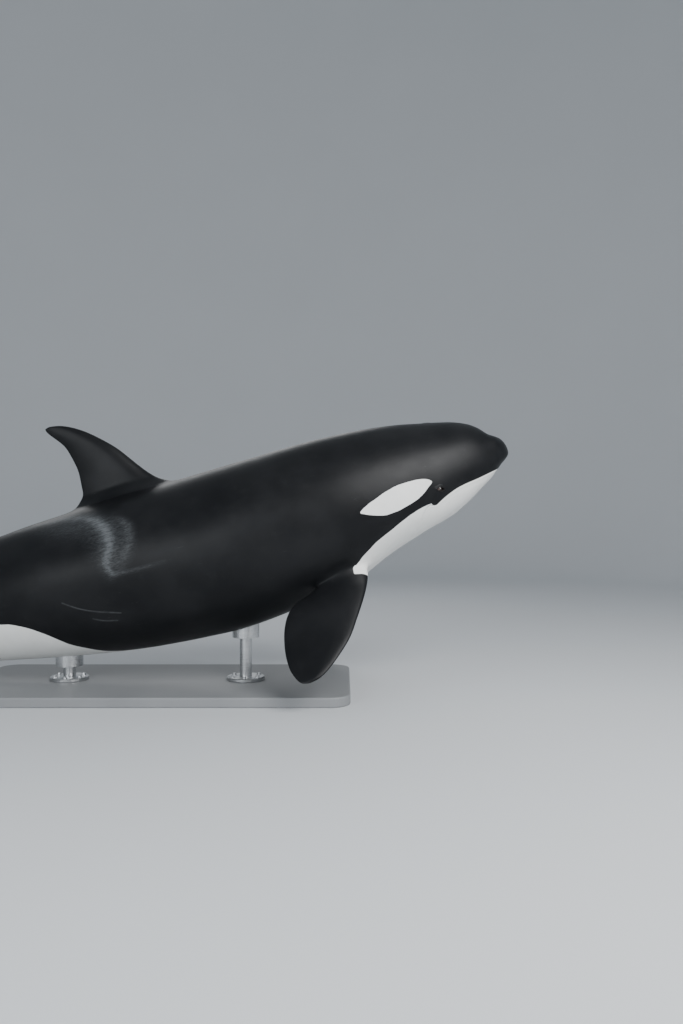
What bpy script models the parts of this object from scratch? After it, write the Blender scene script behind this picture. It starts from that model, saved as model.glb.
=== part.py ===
"""Life-size still model of a swimming orca, nose slightly up, on a plain display stand.

Units are metres and +Z is up. The animal faces +X and its right side is towards -Y. The origin is
the centre of the underside of the stand's base, on the floor. Body places are written as three
distances: back from the snout along the spine, out to the left, and up from the spine.
"""

import math

import bmesh
import bpy
from mathutils import Vector

# Overall size and pose
LENGTH = 5.6
PITCH = math.radians(14.26)
TAIL_PITCH = math.radians(6.0)
BEND_START = 3.3
SPINE_HEIGHT = 1.41
STAND_UNDER = 2.3
GAP = 0.0003

# Body sections: distance back, top, bottom, half width, level of the widest point,
# squareness above it and squareness below it
SECTIONS = (
    (0.00, 0.228, 0.050, 0.120, 0.120, 2.2, 3.0),
    (0.06, 0.224, 0.034, 0.138, 0.118, 2.2, 3.0),
    (0.10, 0.237, 0.010, 0.162, 0.115, 2.1, 3.0),
    (0.15, 0.292, -0.033, 0.195, 0.110, 2.1, 2.8),
    (0.22, 0.339, -0.078, 0.232, 0.100, 2.1, 2.6),
    (0.32, 0.376, -0.140, 0.272, 0.085, 2.1, 2.4),
    (0.45, 0.400, -0.206, 0.314, 0.065, 2.1, 2.3),
    (0.65, 0.437, -0.266, 0.368, 0.040, 2.15, 2.2),
    (0.88, 0.464, -0.343, 0.420, 0.010, 2.2, 2.15),
    (1.15, 0.471, -0.456, 0.462, -0.020, 2.2, 2.1),
    (1.50, 0.463, -0.530, 0.487, -0.045, 2.2, 2.1),
    (1.95, 0.448, -0.573, 0.490, -0.055, 2.15, 2.1),
    (2.40, 0.436, -0.553, 0.462, -0.050, 2.05, 2.1),
    (2.90, 0.404, -0.490, 0.398, -0.030, 1.95, 2.05),
    (3.40, 0.357, -0.400, 0.315, -0.010, 1.85, 1.95),
    (3.90, 0.292, -0.290, 0.222, 0.000, 1.75, 1.8),
    (4.30, 0.234, -0.208, 0.158, 0.008, 1.65, 1.7),
    (4.70, 0.172, -0.140, 0.106, 0.010, 1.6, 1.6),
    (5.00, 0.124, -0.096, 0.074, 0.010, 1.7, 1.7),
    (5.25, 0.082, -0.062, 0.056, 0.008, 1.7, 1.7),
    (5.52, 0.052, -0.034, 0.032, 0.006, 1.8, 1.8),
)
SNOUT_LEVEL = 0.105
SNOUT_ROUND = 0.10
TAIL_END = 5.52
TAIL_ROUND = 0.24
RING_POINTS = 52

# Cuts between the body's parts, and the rings in each part
NECK_CUT = 0.88
CHEST_CUT = 2.00
LOIN_CUT = 3.45
SNOUT_CROWDING = 1.8
TAIL_CROWDING = 1.5
HEAD_RINGS = 22
THORAX_RINGS = 12
ABDOMEN_RINGS = 14
TAIL_RINGS = 18

# Mouth: the closed line from the front of the jaw to its corner, as distance back and level
MOUTH_LINE = (
    (0.080, 0.014),
    (0.101, 0.010),
    (0.247, -0.016),
    (0.383, -0.038),
    (0.472, -0.068),
    (0.526, -0.095),
    (0.560, -0.113),
    (0.596, -0.102),
)
MOUTH_STEPS = 18
MOUTH_GROOVE = 0.006
JAW_TIP = 0.104
JAW_HINGE = (0.690, -0.420)
JAW_STEPS = 14

# Eyes, eyelids and blowhole
EYE_BACK = 0.514
EYE_LEVEL = -0.023
EYE_RADIUS = 0.026
EYE_PROUD = 0.006
LID_HALF_LENGTH = 0.029
LID_HALF_HEIGHT = 0.016
LID_THICK = 0.008
LID_LIFTS = {"upper": 1.0, "lower": -0.8}
LID_STEPS = 8
LID_PROUD = 0.001
LID_CORNER_SHARE = 0.55
BLOWHOLE_BACK = 0.440
BLOWHOLE_RADIUS = 0.045
BLOWHOLE_DEPTH_SHARE = 0.75
BLOWHOLE_SWEEP = math.radians(200)
BLOWHOLE_STEPS = 10
BLOWHOLE_GROOVE = 0.009
BLOWHOLE_HORN_SHARE = 0.45
BLOWHOLE_LEFT = 0.012

# Dorsal fin: level, front edge, rear edge and half thickness
DORSAL_FIN = (
    (0.360, 1.99, 2.80, 0.075),
    (0.430, 2.08, 2.755, 0.068),
    (0.468, 2.170, 2.700, 0.054),
    (0.500, 2.212, 2.683, 0.048),
    (0.560, 2.268, 2.681, 0.042),
    (0.640, 2.330, 2.677, 0.037),
    (0.735, 2.403, 2.694, 0.031),
    (0.825, 2.497, 2.722, 0.024),
    (0.890, 2.577, 2.772, 0.018),
    (0.935, 2.652, 2.808, 0.013),
    (0.960, 2.715, 2.817, 0.009),
    (0.971, 2.762, 2.805, 0.005),
)
DORSAL_RINGS = 17

# Flippers: distance out along the blade, front edge, rear edge and half thickness
FLIPPER = (
    (-0.170, -0.145, 0.135, 0.068),
    (0.000, -0.138, 0.140, 0.056),
    (0.080, -0.128, 0.185, 0.045),
    (0.120, -0.115, 0.290, 0.038),
    (0.170, -0.097, 0.360, 0.035),
    (0.260, -0.056, 0.406, 0.031),
    (0.360, -0.005, 0.428, 0.027),
    (0.470, 0.054, 0.436, 0.022),
    (0.570, 0.135, 0.429, 0.017),
    (0.650, 0.214, 0.404, 0.012),
    (0.690, 0.272, 0.378, 0.008),
    (0.704, 0.318, 0.350, 0.004),
)
FLIPPER_RINGS = 16
FLIPPER_ROOT = (1.19, 0.27, -0.37)
FLIPPER_DROOP = math.radians(44.0)

# Tail flukes: distance out, front edge, rear edge, half thickness and level
FLUKE = (
    (0.000, 4.975, 5.600, 0.042, 0.008),
    (0.025, 5.030, 5.632, 0.042, 0.008),
    (0.060, 5.090, 5.662, 0.040, 0.008),
    (0.130, 5.165, 5.678, 0.033, 0.006),
    (0.240, 5.262, 5.680, 0.025, 0.002),
    (0.360, 5.372, 5.684, 0.018, -0.006),
    (0.480, 5.495, 5.698, 0.012, -0.018),
    (0.580, 5.612, 5.722, 0.008, -0.032),
    (0.640, 5.698, 5.745, 0.005, -0.042),
    (0.660, 5.738, 5.752, 0.003, -0.046),
)
FLUKE_RINGS = 16

# Streamlined fin sections: fullness, rear taper, edge thickness, and how they crowd to the tip
FIN_BULGE = 2.49
FIN_TAPER = 0.9
FIN_EDGE = 0.0025
FIN_EDGE_START = 0.25
FIN_DIVISIONS = 8
FIN_CROWDING = 1.35

# Display stand
BASE_LENGTH = 2.4
BASE_WIDTH = 1.1
BASE_HEIGHT = 0.06
BASE_CORNER = 0.12
BASE_CORNER_STEPS = 6
BASE_EDGE = 0.008
ROD_PLACES = {"front": 1.89, "rear": 3.02}
ROD_RADIUS = 0.038
FOOT_RADIUS = 0.12
FOOT_HEIGHT = 0.022
FOOT_EDGE = 0.004
CUP_RADIUS = 0.085
CUP_HEIGHT = 0.060
CUP_OVERLAP = 0.10
SHARP_ANGLE = math.radians(40.0)

# Finishes: colour, roughness, metallic
FINISHES = {
    "black_skin": ((0.012, 0.013, 0.015), 0.32, 0.0),
    "eye": ((0.020, 0.012, 0.008), 0.08, 0.0),
    "base": ((0.30, 0.31, 0.32), 0.5, 0.0),
    "steel": ((0.55, 0.56, 0.57), 0.28, 1.0),
}


def clear_scene():
    """Remove the objects that the scene starts with."""
    for obj in list(bpy.data.objects):
        bpy.data.objects.remove(obj, do_unlink=True)


def collection(name):
    """A new collection in the scene."""
    made = bpy.data.collections.new(name)
    bpy.context.scene.collection.children.link(made)
    return made


def material(name, finish):
    """A plain material with the part's colour, roughness and metallic value."""
    colour, roughness, metallic = FINISHES[finish]
    made = bpy.data.materials.new(name)
    made.use_nodes = True
    shader = made.node_tree.nodes["Principled BSDF"]
    shader.inputs["Base Color"].default_value = (*colour, 1.0)
    shader.inputs["Roughness"].default_value = roughness
    shader.inputs["Metallic"].default_value = metallic
    return made


def smooth_curves(rows):
    """Functions of the first column that pass through the others without overshooting."""
    places = [row[0] for row in rows]
    steps = [b - a for a, b in zip(places, places[1:])]

    def column(index):
        values = [row[index] for row in rows]
        rises = [(b - a) / step for a, b, step in zip(values, values[1:], steps)]
        slopes = [rises[0]]
        for before, after in zip(rises, rises[1:]):
            flat = before * after <= 0.0
            slopes.append(0.0 if flat else 2.0 * before * after / (before + after))
        slopes.append(rises[-1])

        def value(place):
            place = min(max(place, places[0]), places[-1])
            i = 0
            while i < len(steps) - 1 and place > places[i + 1]:
                i += 1
            t = (place - places[i]) / steps[i]
            start = values[i] * (1 + 2 * t) * (1 - t) ** 2
            end = values[i + 1] * t * t * (3 - 2 * t)
            leave = slopes[i] * steps[i] * t * (1 - t) ** 2
            arrive = slopes[i + 1] * steps[i] * t * t * (t - 1)
            return start + end + leave + arrive

        return value

    return [column(index) for index in range(1, len(rows[0]))]


TOP, BOTTOM, HALF_WIDTH, WIDEST, ABOVE, BELOW = smooth_curves(SECTIONS)
(MOUTH_LEVEL,) = smooth_curves(MOUTH_LINE)


def spine(back):
    """Spine point, and its up direction, at this distance back from the snout."""
    straight = min(back, BEND_START)
    x = STAND_UNDER * math.cos(PITCH) - straight * math.cos(PITCH)
    z = SPINE_HEIGHT - straight * math.sin(PITCH)
    pitch = PITCH
    if back > BEND_START:
        bend = (PITCH - TAIL_PITCH) / (LENGTH - BEND_START)
        pitch = PITCH - bend * (back - BEND_START)
        x -= (math.sin(PITCH) - math.sin(pitch)) / bend
        z -= (math.cos(pitch) - math.cos(PITCH)) / bend
    return Vector((x, 0.0, z)), Vector((-math.sin(pitch), 0.0, math.cos(pitch)))


def place(back, left, up):
    """World point of a body place."""
    point, normal = spine(back)
    return point + normal * up + Vector((0.0, left, 0.0))


def end_round(back):
    """Share of its full section that the body keeps near the snout and the tail's end."""
    share = 1.0
    if back < SNOUT_ROUND:
        share = math.sqrt(max(0.0, 1.0 - (1.0 - back / SNOUT_ROUND) ** 2))
    from_end = TAIL_END - back
    if from_end < TAIL_ROUND:
        share = math.sqrt(max(0.0, 1.0 - (1.0 - from_end / TAIL_ROUND) ** 2))
    return share


def section(back):
    """Centre level, reach above and below it, half width and squareness of one section."""
    share = end_round(back)
    level = SNOUT_LEVEL if back < SNOUT_ROUND else WIDEST(back)
    if back >= SNOUT_ROUND:
        blend = min(1.0, (back - SNOUT_ROUND) / SNOUT_ROUND)
        level = SNOUT_LEVEL + (WIDEST(back) - SNOUT_LEVEL) * blend
    above = (TOP(back) - level) * share
    below = (level - BOTTOM(back)) * share
    return level, above, below, HALF_WIDTH(back) * share, ABOVE(back), BELOW(back)


def skin_point(back, turn):
    """Skin point, with turn 0 on the back, a quarter on the left side and a half on the belly."""
    level, above, below, half_width, upper, lower = section(back)
    up, out = math.cos(turn), math.sin(turn)
    power = 2.0 / (upper if up >= 0.0 else lower)
    reach = above if up >= 0.0 else below
    height = level + math.copysign(abs(up) ** power, up) * reach
    width = math.copysign(abs(out) ** power, out) * half_width
    return place(back, width, height)


def skin_width(back, level_at):
    """Half width of the body at a level."""
    level, above, below, half_width, upper, lower = section(back)
    rise = level_at - level
    reach, power = (above, upper) if rise >= 0.0 else (below, lower)
    share = min(1.0, abs(rise) / max(reach, 1e-6))
    return half_width * (1.0 - share**power) ** (1.0 / power)


def skin_top(back, left):
    """Level of the back at a distance out from its middle line."""
    level, above, _, half_width, upper, _ = section(back)
    return level + above * (1.0 - min(1.0, abs(left) / half_width) ** upper) ** (1.0 / upper)


def finish_mesh(name, points, faces, group, look, smooth=True):
    """A new object from points and faces, with its faces turned outward."""
    mesh = bpy.data.meshes.new(name)
    mesh.from_pydata([tuple(point) for point in points], [], faces)
    work = bmesh.new()
    work.from_mesh(mesh)
    bmesh.ops.remove_doubles(work, verts=work.verts, dist=1e-6)
    bmesh.ops.recalc_face_normals(work, faces=work.faces)
    if work.calc_volume(signed=True) < 0.0:
        bmesh.ops.reverse_faces(work, faces=work.faces)
    work.to_mesh(mesh)
    work.free()
    if smooth:
        mesh.shade_smooth()
        mesh.set_sharp_from_angle(angle=SHARP_ANGLE)
    if look:
        mesh.materials.append(material(name, look))
    obj = bpy.data.objects.new(name, mesh)
    group.objects.link(obj)
    return obj


def loft(name, rings, group, look):
    """A closed solid through rings of equal count, with flat ends or a point at a ring of one."""
    points = []
    starts = []
    for ring in rings:
        starts.append(len(points))
        points.extend(ring)
    faces = []
    for (first, ring), (second, following) in zip(
        zip(starts, rings), zip(starts[1:], rings[1:])
    ):
        count = max(len(ring), len(following))
        for i in range(count):
            j = (i + 1) % count
            if len(ring) == 1:
                faces.append((first, second + i, second + j))
            elif len(following) == 1:
                faces.append((first + i, second, first + j))
            else:
                faces.append((first + i, second + i, second + j))
                faces.append((first + i, second + j, first + j))
    for start, ring in ((starts[0], rings[0]), (starts[-1], rings[-1])):
        if len(ring) > 1:
            faces.append(tuple(range(start, start + len(ring))))
    return finish_mesh(name, points, faces, group, look)


def body_ring(back):
    """One ring of skin points, or the single point at either end of the body."""
    if back <= 0.0:
        return [place(0.0, 0.0, SNOUT_LEVEL)]
    if back >= TAIL_END:
        return [place(TAIL_END, 0.0, WIDEST(TAIL_END))]
    return [skin_point(back, 2 * math.pi * i / RING_POINTS) for i in range(RING_POINTS)]


def spread(start, end, count, close_start=False, close_end=False):
    """Distances from start to end, closer together towards an end that is rounded off."""
    places = []
    for i in range(count + 1):
        share = i / count
        if close_start:
            share = share**SNOUT_CROWDING
        if close_end:
            share = 1.0 - (1.0 - share) ** TAIL_CROWDING
        places.append(start + (end - start) * share)
    return places


HEAD_PLACES = spread(0.0, NECK_CUT, HEAD_RINGS, close_start=True)
THORAX_PLACES = spread(NECK_CUT, CHEST_CUT, THORAX_RINGS)
ABDOMEN_PLACES = spread(CHEST_CUT, LOIN_CUT, ABDOMEN_RINGS)
TAIL_PLACES = spread(LOIN_CUT, TAIL_END, TAIL_RINGS, close_end=True)


def body_part(name, places, group, gap_before, gap_after):
    """The stretch of body between two cuts, held back from each by half the gap."""
    places = list(places)
    if gap_before:
        places[0] += GAP / 2
    if gap_after:
        places[-1] -= GAP / 2
    return loft(name, [body_ring(back) for back in places], group, "black_skin")


def grown_body(group):
    """The whole body, grown by the gap, which cuts whatever stands on the skin."""
    places = HEAD_PLACES + THORAX_PLACES[1:] + ABDOMEN_PLACES[1:] + TAIL_PLACES[1:]
    body = loft("body_cutter", [body_ring(back) for back in places], group, None)
    work = bmesh.new()
    work.from_mesh(body.data)
    work.normal_update()
    for vert in work.verts:
        vert.co += vert.normal * GAP
    work.to_mesh(body.data)
    work.free()
    return body


def hide(cutter):
    """Keep a cutter out of the model."""
    cutter.hide_render = True
    cutter.display_type = "WIRE"
    return cutter


def boolean(obj, other, operation="DIFFERENCE"):
    """Add a Boolean modifier."""
    modifier = obj.modifiers.new(other.name, "BOOLEAN")
    modifier.operation = operation
    modifier.object = other
    modifier.solver = "EXACT"
    return modifier


def pieces_of(work):
    """The faces of each connected surface in a bmesh, largest first."""
    left = set(work.faces)
    found = []
    while left:
        queue = [left.pop()]
        piece = set(queue)
        while queue:
            for edge in queue.pop().edges:
                for face in edge.link_faces:
                    if face in left:
                        left.discard(face)
                        piece.add(face)
                        queue.append(face)
        found.append(piece)
    return sorted(found, key=lambda piece: sum(face.calc_area() for face in piece), reverse=True)


def settle(obj):
    """Apply an object's modifiers and keep its one main surface."""
    bpy.context.view_layer.update()
    graph = bpy.context.evaluated_depsgraph_get()
    mesh = bpy.data.meshes.new_from_object(obj.evaluated_get(graph))
    obj.modifiers.clear()
    work = bmesh.new()
    work.from_mesh(mesh)
    bmesh.ops.triangulate(work, faces=[face for face in work.faces if len(face.verts) > 4])
    scraps = [face for piece in pieces_of(work)[1:] for face in piece]
    bmesh.ops.delete(work, geom=scraps, context="FACES")
    work.to_mesh(mesh)
    work.free()
    mesh.name = obj.name
    obj.data = mesh
    return obj


def tube(name, points, radii, group, look=None, sides=6):
    """A closed tube along points, with a radius at each."""
    curve = bpy.data.curves.new(name, "CURVE")
    curve.dimensions = "3D"
    curve.bevel_depth = 1.0
    curve.bevel_resolution = (sides - 4) // 2
    curve.use_fill_caps = True
    path = curve.splines.new("POLY")
    path.points.add(len(points) - 1)
    for knot, point, radius in zip(path.points, points, radii):
        knot.co = (*point, 1.0)
        knot.radius = radius
    holder = bpy.data.objects.new(name + "_path", curve)
    group.objects.link(holder)
    bpy.context.view_layer.update()
    graph = bpy.context.evaluated_depsgraph_get()
    mesh = bpy.data.meshes.new_from_object(holder.evaluated_get(graph))
    bpy.data.objects.remove(holder)
    work = bmesh.new()
    work.from_mesh(mesh)
    bmesh.ops.remove_doubles(work, verts=work.verts, dist=1e-6)
    bmesh.ops.recalc_face_normals(work, faces=work.faces)
    work.to_mesh(mesh)
    work.free()
    mesh.name = name
    if look:
        mesh.materials.append(material(name, look))
    obj = bpy.data.objects.new(name, mesh)
    group.objects.link(obj)
    return obj


def blade_ring(front, rear, thick, to_world):
    """One streamlined section: round at the front, thickest at a third and thin at the rear."""
    upper = []
    for i in range(FIN_DIVISIONS + 1):
        share = 0.5 - 0.5 * math.cos(math.pi * i / FIN_DIVISIONS)
        bulge = FIN_BULGE * math.sqrt(share) * (1.0 - share) ** FIN_TAPER
        edge = FIN_EDGE * min(1.0, share / FIN_EDGE_START)
        upper.append((front + (rear - front) * share, thick * bulge + edge))
    upper[0] = (front, 0.0)
    lower = [(along, -height) for along, height in reversed(upper[1:])]
    return [to_world(along, height) for along, height in upper + lower]


def blade(name, rows, count, to_world, group, look="black_skin"):
    """A fin through streamlined sections, spaced closer towards its tip."""
    columns = smooth_curves(rows)
    first, last = rows[0][0], rows[-1][0]
    rings = []
    for i in range(count + 1):
        share = 1.0 - (1.0 - i / count) ** FIN_CROWDING
        out = first + (last - first) * share
        front, rear, thick = (column(out) for column in columns[:3])
        extra = [column(out) for column in columns[3:]]
        rings.append(
            blade_ring(front, rear, thick, lambda a, b, out=out: to_world(out, a, b, *extra))
        )
    return loft(name, rings, group, look)


def make_dorsal_fin(group, body):
    """The small, backward-curved dorsal fin."""
    fin = blade(
        "dorsal_fin",
        DORSAL_FIN,
        DORSAL_RINGS,
        lambda level, back, aside: place(back, aside, level),
        group,
    )
    boolean(fin, body)
    settle(fin)


def make_flipper(side, group, body):
    """One paddle-shaped flipper; side is 1 for left and -1 for right."""
    root_back, root_left, root_up = FLIPPER_ROOT
    out_left, out_up = math.sin(FLIPPER_DROOP), -math.cos(FLIPPER_DROOP)

    def to_world(out, back, lift):
        left = root_left + out * out_left - lift * out_up
        up = root_up + out * out_up + lift * out_left
        return place(root_back + back, side * left, up)

    name = "flipper_left" if side > 0 else "flipper_right"
    flipper = blade(name, FLIPPER, FLIPPER_RINGS, to_world, group)
    boolean(flipper, body)
    settle(flipper)


def make_fluke(side, group, body):
    """One half of the tail flukes, from the middle line out."""

    def to_world(out, back, lift, level):
        return place(back, side * (out + GAP / 2), level + lift)

    name = "fluke_left" if side > 0 else "fluke_right"
    fluke = blade(name, FLUKE, FLUKE_RINGS, to_world, group)
    boolean(fluke, body)
    settle(fluke)


def side_point(back, level, side, proud=0.0):
    """Point on the head's side at a level, moved out by proud."""
    return place(back, side * (skin_width(back, level) + proud), level)


def side_normal(back, level, side):
    """Outward direction of the skin there."""
    step = 0.005
    along = side_point(back + step, level, side) - side_point(back - step, level, side)
    across = side_point(back, level + step, side) - side_point(back, level - step, side)
    normal = along.cross(across).normalized()
    return normal if normal.y * side > 0 else -normal


def sphere(name, centre, radius, group, look=None, segments=20):
    """A plain ball."""
    mesh = bpy.data.meshes.new(name)
    work = bmesh.new()
    bmesh.ops.create_uvsphere(work, u_segments=segments, v_segments=segments // 2, radius=radius)
    work.to_mesh(mesh)
    work.free()
    mesh.shade_smooth()
    if look:
        mesh.materials.append(material(name, look))
    obj = bpy.data.objects.new(name, mesh)
    obj.location = centre
    group.objects.link(obj)
    return obj


def make_eye(side, head, group, cutters):
    """The eyeball, its socket and the two lids that stand round it."""
    word = "left" if side > 0 else "right"
    surface = side_point(EYE_BACK, EYE_LEVEL, side)
    normal = side_normal(EYE_BACK, EYE_LEVEL, side)
    centre = surface + normal * (EYE_PROUD - EYE_RADIUS)
    for lid, lift in LID_LIFTS.items():
        points = []
        radii = []
        for i in range(LID_STEPS + 1):
            turn = math.pi * i / LID_STEPS
            back = EYE_BACK + LID_HALF_LENGTH * math.cos(turn)
            level = EYE_LEVEL + lift * LID_HALF_HEIGHT * math.sin(turn)
            points.append(side_point(back, level, side, LID_PROUD))
            radii.append(LID_THICK * (LID_CORNER_SHARE + (1.0 - LID_CORNER_SHARE) * math.sin(turn)))
        rim = tube(f"{lid}_lid_{word}", points, radii, cutters)
        boolean(head, hide(rim), "UNION")
    socket = sphere(f"socket_{word}", centre, EYE_RADIUS + GAP, cutters)
    boolean(head, hide(socket))
    sphere(f"eye_{word}", centre, EYE_RADIUS, group, "eye")


def make_blowhole(head, cutters):
    """The crescent groove of the closed blowhole, its horns forward."""
    points = []
    radii = []
    for i in range(BLOWHOLE_STEPS + 1):
        share = 2 * i / BLOWHOLE_STEPS - 1
        turn = share * BLOWHOLE_SWEEP / 2
        back = BLOWHOLE_BACK + BLOWHOLE_RADIUS * BLOWHOLE_DEPTH_SHARE * math.cos(turn)
        left = BLOWHOLE_LEFT + BLOWHOLE_RADIUS * math.sin(turn)
        points.append(place(back, left, skin_top(back, left)))
        fullness = BLOWHOLE_HORN_SHARE + (1.0 - BLOWHOLE_HORN_SHARE) * (1.0 - share * share)
        radii.append(BLOWHOLE_GROOVE * fullness)
    boolean(head, hide(tube("blowhole_groove", points, radii, cutters)))


def mouth_path():
    """Points of the closed mouth from the right corner round the front to the left one."""
    half = []
    for back in spread(JAW_TIP, MOUTH_LINE[-1][0], MOUTH_STEPS, close_start=True)[1:]:
        level = MOUTH_LEVEL(back)
        half.append((back, skin_width(back, level), level))
    right = [place(back, -width, level) for back, width, level in reversed(half)]
    front = [place(JAW_TIP, 0.0, MOUTH_LEVEL(JAW_TIP))]
    left = [place(back, width, level) for back, width, level in half]
    return right + front + left


def jaw_block(name, group, shrink):
    """Everything below the mouth line and before the jaw's hinge, held back by shrink."""
    front, corner = MOUTH_LINE[1][0], MOUTH_LINE[-1][0]
    line = [
        (back - shrink, MOUTH_LEVEL(back) - shrink) for back in spread(front, corner, JAW_STEPS)
    ]
    line[0] = (front + shrink, line[0][1])
    hinge, floor = JAW_HINGE
    outline = line + [(hinge - shrink, floor), (front + shrink, floor)]
    wide = HALF_WIDTH(hinge)
    rings = [[place(back, left, level) for back, level in outline] for left in (-wide, wide)]
    return loft(name, rings, group, None)


def make_head(group, cutters):
    """Head with closed mouth, lower jaw, eyes with lids, and blowhole."""
    head = body_part("head", HEAD_PLACES, group, False, True)
    jaw = body_part("lower_jaw", HEAD_PLACES, group, False, True)
    path = mouth_path()
    middle = (len(path) - 1) / 2
    radii = [MOUTH_GROOVE * (1.0 - 0.5 * abs(i / middle - 1.0) ** 4) for i in range(len(path))]
    groove = hide(tube("mouth_groove", path, radii, cutters))
    boolean(head, hide(jaw_block("jaw_space", cutters, 0.0)))
    boolean(jaw, hide(jaw_block("jaw_room", cutters, GAP)), "INTERSECT")
    boolean(head, groove)
    boolean(jaw, groove)
    make_blowhole(head, cutters)
    for side in (-1, 1):
        make_eye(side, head, group, cutters)
    settle(head)
    settle(jaw)


def cylinder(name, radius, low, high, centre, group, look, segments=32):
    """An upright round bar."""
    mesh = bpy.data.meshes.new(name)
    work = bmesh.new()
    bmesh.ops.create_cone(
        work,
        cap_ends=True,
        segments=segments,
        radius1=radius,
        radius2=radius,
        depth=high - low,
    )
    work.to_mesh(mesh)
    work.free()
    mesh.shade_smooth()
    mesh.set_sharp_from_angle(angle=SHARP_ANGLE)
    if look:
        mesh.materials.append(material(name, look))
    obj = bpy.data.objects.new(name, mesh)
    obj.location = (centre[0], centre[1], (low + high) / 2)
    group.objects.link(obj)
    return obj


def bevel(obj, width, segments=2):
    """Round an object's sharp edges."""
    modifier = obj.modifiers.new("edges", "BEVEL")
    modifier.width = width
    modifier.segments = segments
    modifier.limit_method = "ANGLE"
    modifier.angle_limit = SHARP_ANGLE
    return modifier


def make_base(group):
    """The flat base, a slab with round corners."""
    corners = []
    half = Vector((BASE_LENGTH / 2 - BASE_CORNER, BASE_WIDTH / 2 - BASE_CORNER))
    for quarter, signs in enumerate(((1, 1), (-1, 1), (-1, -1), (1, -1))):
        for step in range(BASE_CORNER_STEPS + 1):
            turn = math.pi / 2 * (quarter + step / BASE_CORNER_STEPS)
            x = signs[0] * half.x + BASE_CORNER * math.cos(turn)
            y = signs[1] * half.y + BASE_CORNER * math.sin(turn)
            corners.append((x, y))
    rings = [[Vector((x, y, z)) for x, y in corners] for z in (0.0, BASE_HEIGHT)]
    base = loft("stand_base", rings, group, "base")
    bevel(base, BASE_EDGE)


def make_support(word, back, group, cutters, body):
    """One rod with a round foot on the base and a cup shaped to the belly."""
    x, _, belly = place(back, 0.0, BOTTOM(back))
    foot_top = BASE_HEIGHT + GAP + FOOT_HEIGHT
    foot = cylinder(
        f"stand_foot_{word}", FOOT_RADIUS, BASE_HEIGHT + GAP, foot_top, (x, 0), group, "steel"
    )
    bevel(foot, FOOT_EDGE, 1)
    cup_low = belly - CUP_HEIGHT
    cylinder(
        f"stand_rod_{word}", ROD_RADIUS, foot_top + GAP, cup_low - GAP, (x, 0), group, "steel"
    )
    cup_top = belly + CUP_OVERLAP
    cup = cylinder(f"stand_cup_{word}", CUP_RADIUS, cup_low, cup_top, (x, 0), group, "steel")
    boolean(cup, body)


def main():
    """Build the whole model."""
    clear_scene()
    parts = collection("orca")
    cutters = collection("cutters")
    body = hide(grown_body(cutters))
    make_head(parts, cutters)
    body_part("thorax", THORAX_PLACES, parts, True, True)
    body_part("abdomen", ABDOMEN_PLACES, parts, True, True)
    body_part("tail_stock", TAIL_PLACES, parts, True, False)
    make_dorsal_fin(parts, body)
    for side in (-1, 1):
        make_flipper(side, parts, body)
        make_fluke(side, parts, body)
    make_base(parts)
    for word, back in ROD_PLACES.items():
        make_support(word, back, parts, cutters, body)


main()
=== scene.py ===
"""Looks of a life-size orca model on its display stand.

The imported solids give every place. One continuous skin, built from the same named sizes, replaces
the flesh nodes, with the mouth, eyelids, blowhole, slits and folds modelled in it. Units are
metres, +Z is up, the animal faces +X and its right side is towards -Y. Body places are written as
three distances: back from the snout along the spine, out to the left, and up from the spine.
"""

import math

import bmesh
import bpy
import numpy as np
from mathutils import Matrix, Vector
from mathutils.kdtree import KDTree


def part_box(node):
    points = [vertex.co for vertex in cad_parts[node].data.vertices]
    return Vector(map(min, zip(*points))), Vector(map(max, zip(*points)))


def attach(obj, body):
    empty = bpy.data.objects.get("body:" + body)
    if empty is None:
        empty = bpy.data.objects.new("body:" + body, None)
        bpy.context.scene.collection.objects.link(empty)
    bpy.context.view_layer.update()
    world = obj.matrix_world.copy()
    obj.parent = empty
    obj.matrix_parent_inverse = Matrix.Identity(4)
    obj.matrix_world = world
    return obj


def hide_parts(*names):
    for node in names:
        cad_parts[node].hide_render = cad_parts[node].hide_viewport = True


# Overall size and pose, as in the solids
LENGTH = 5.6
PITCH = math.radians(14.26)
TAIL_PITCH = math.radians(6.0)
BEND_START = 3.3
SPINE_HEIGHT = 1.41
STAND_UNDER = 2.3

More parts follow.
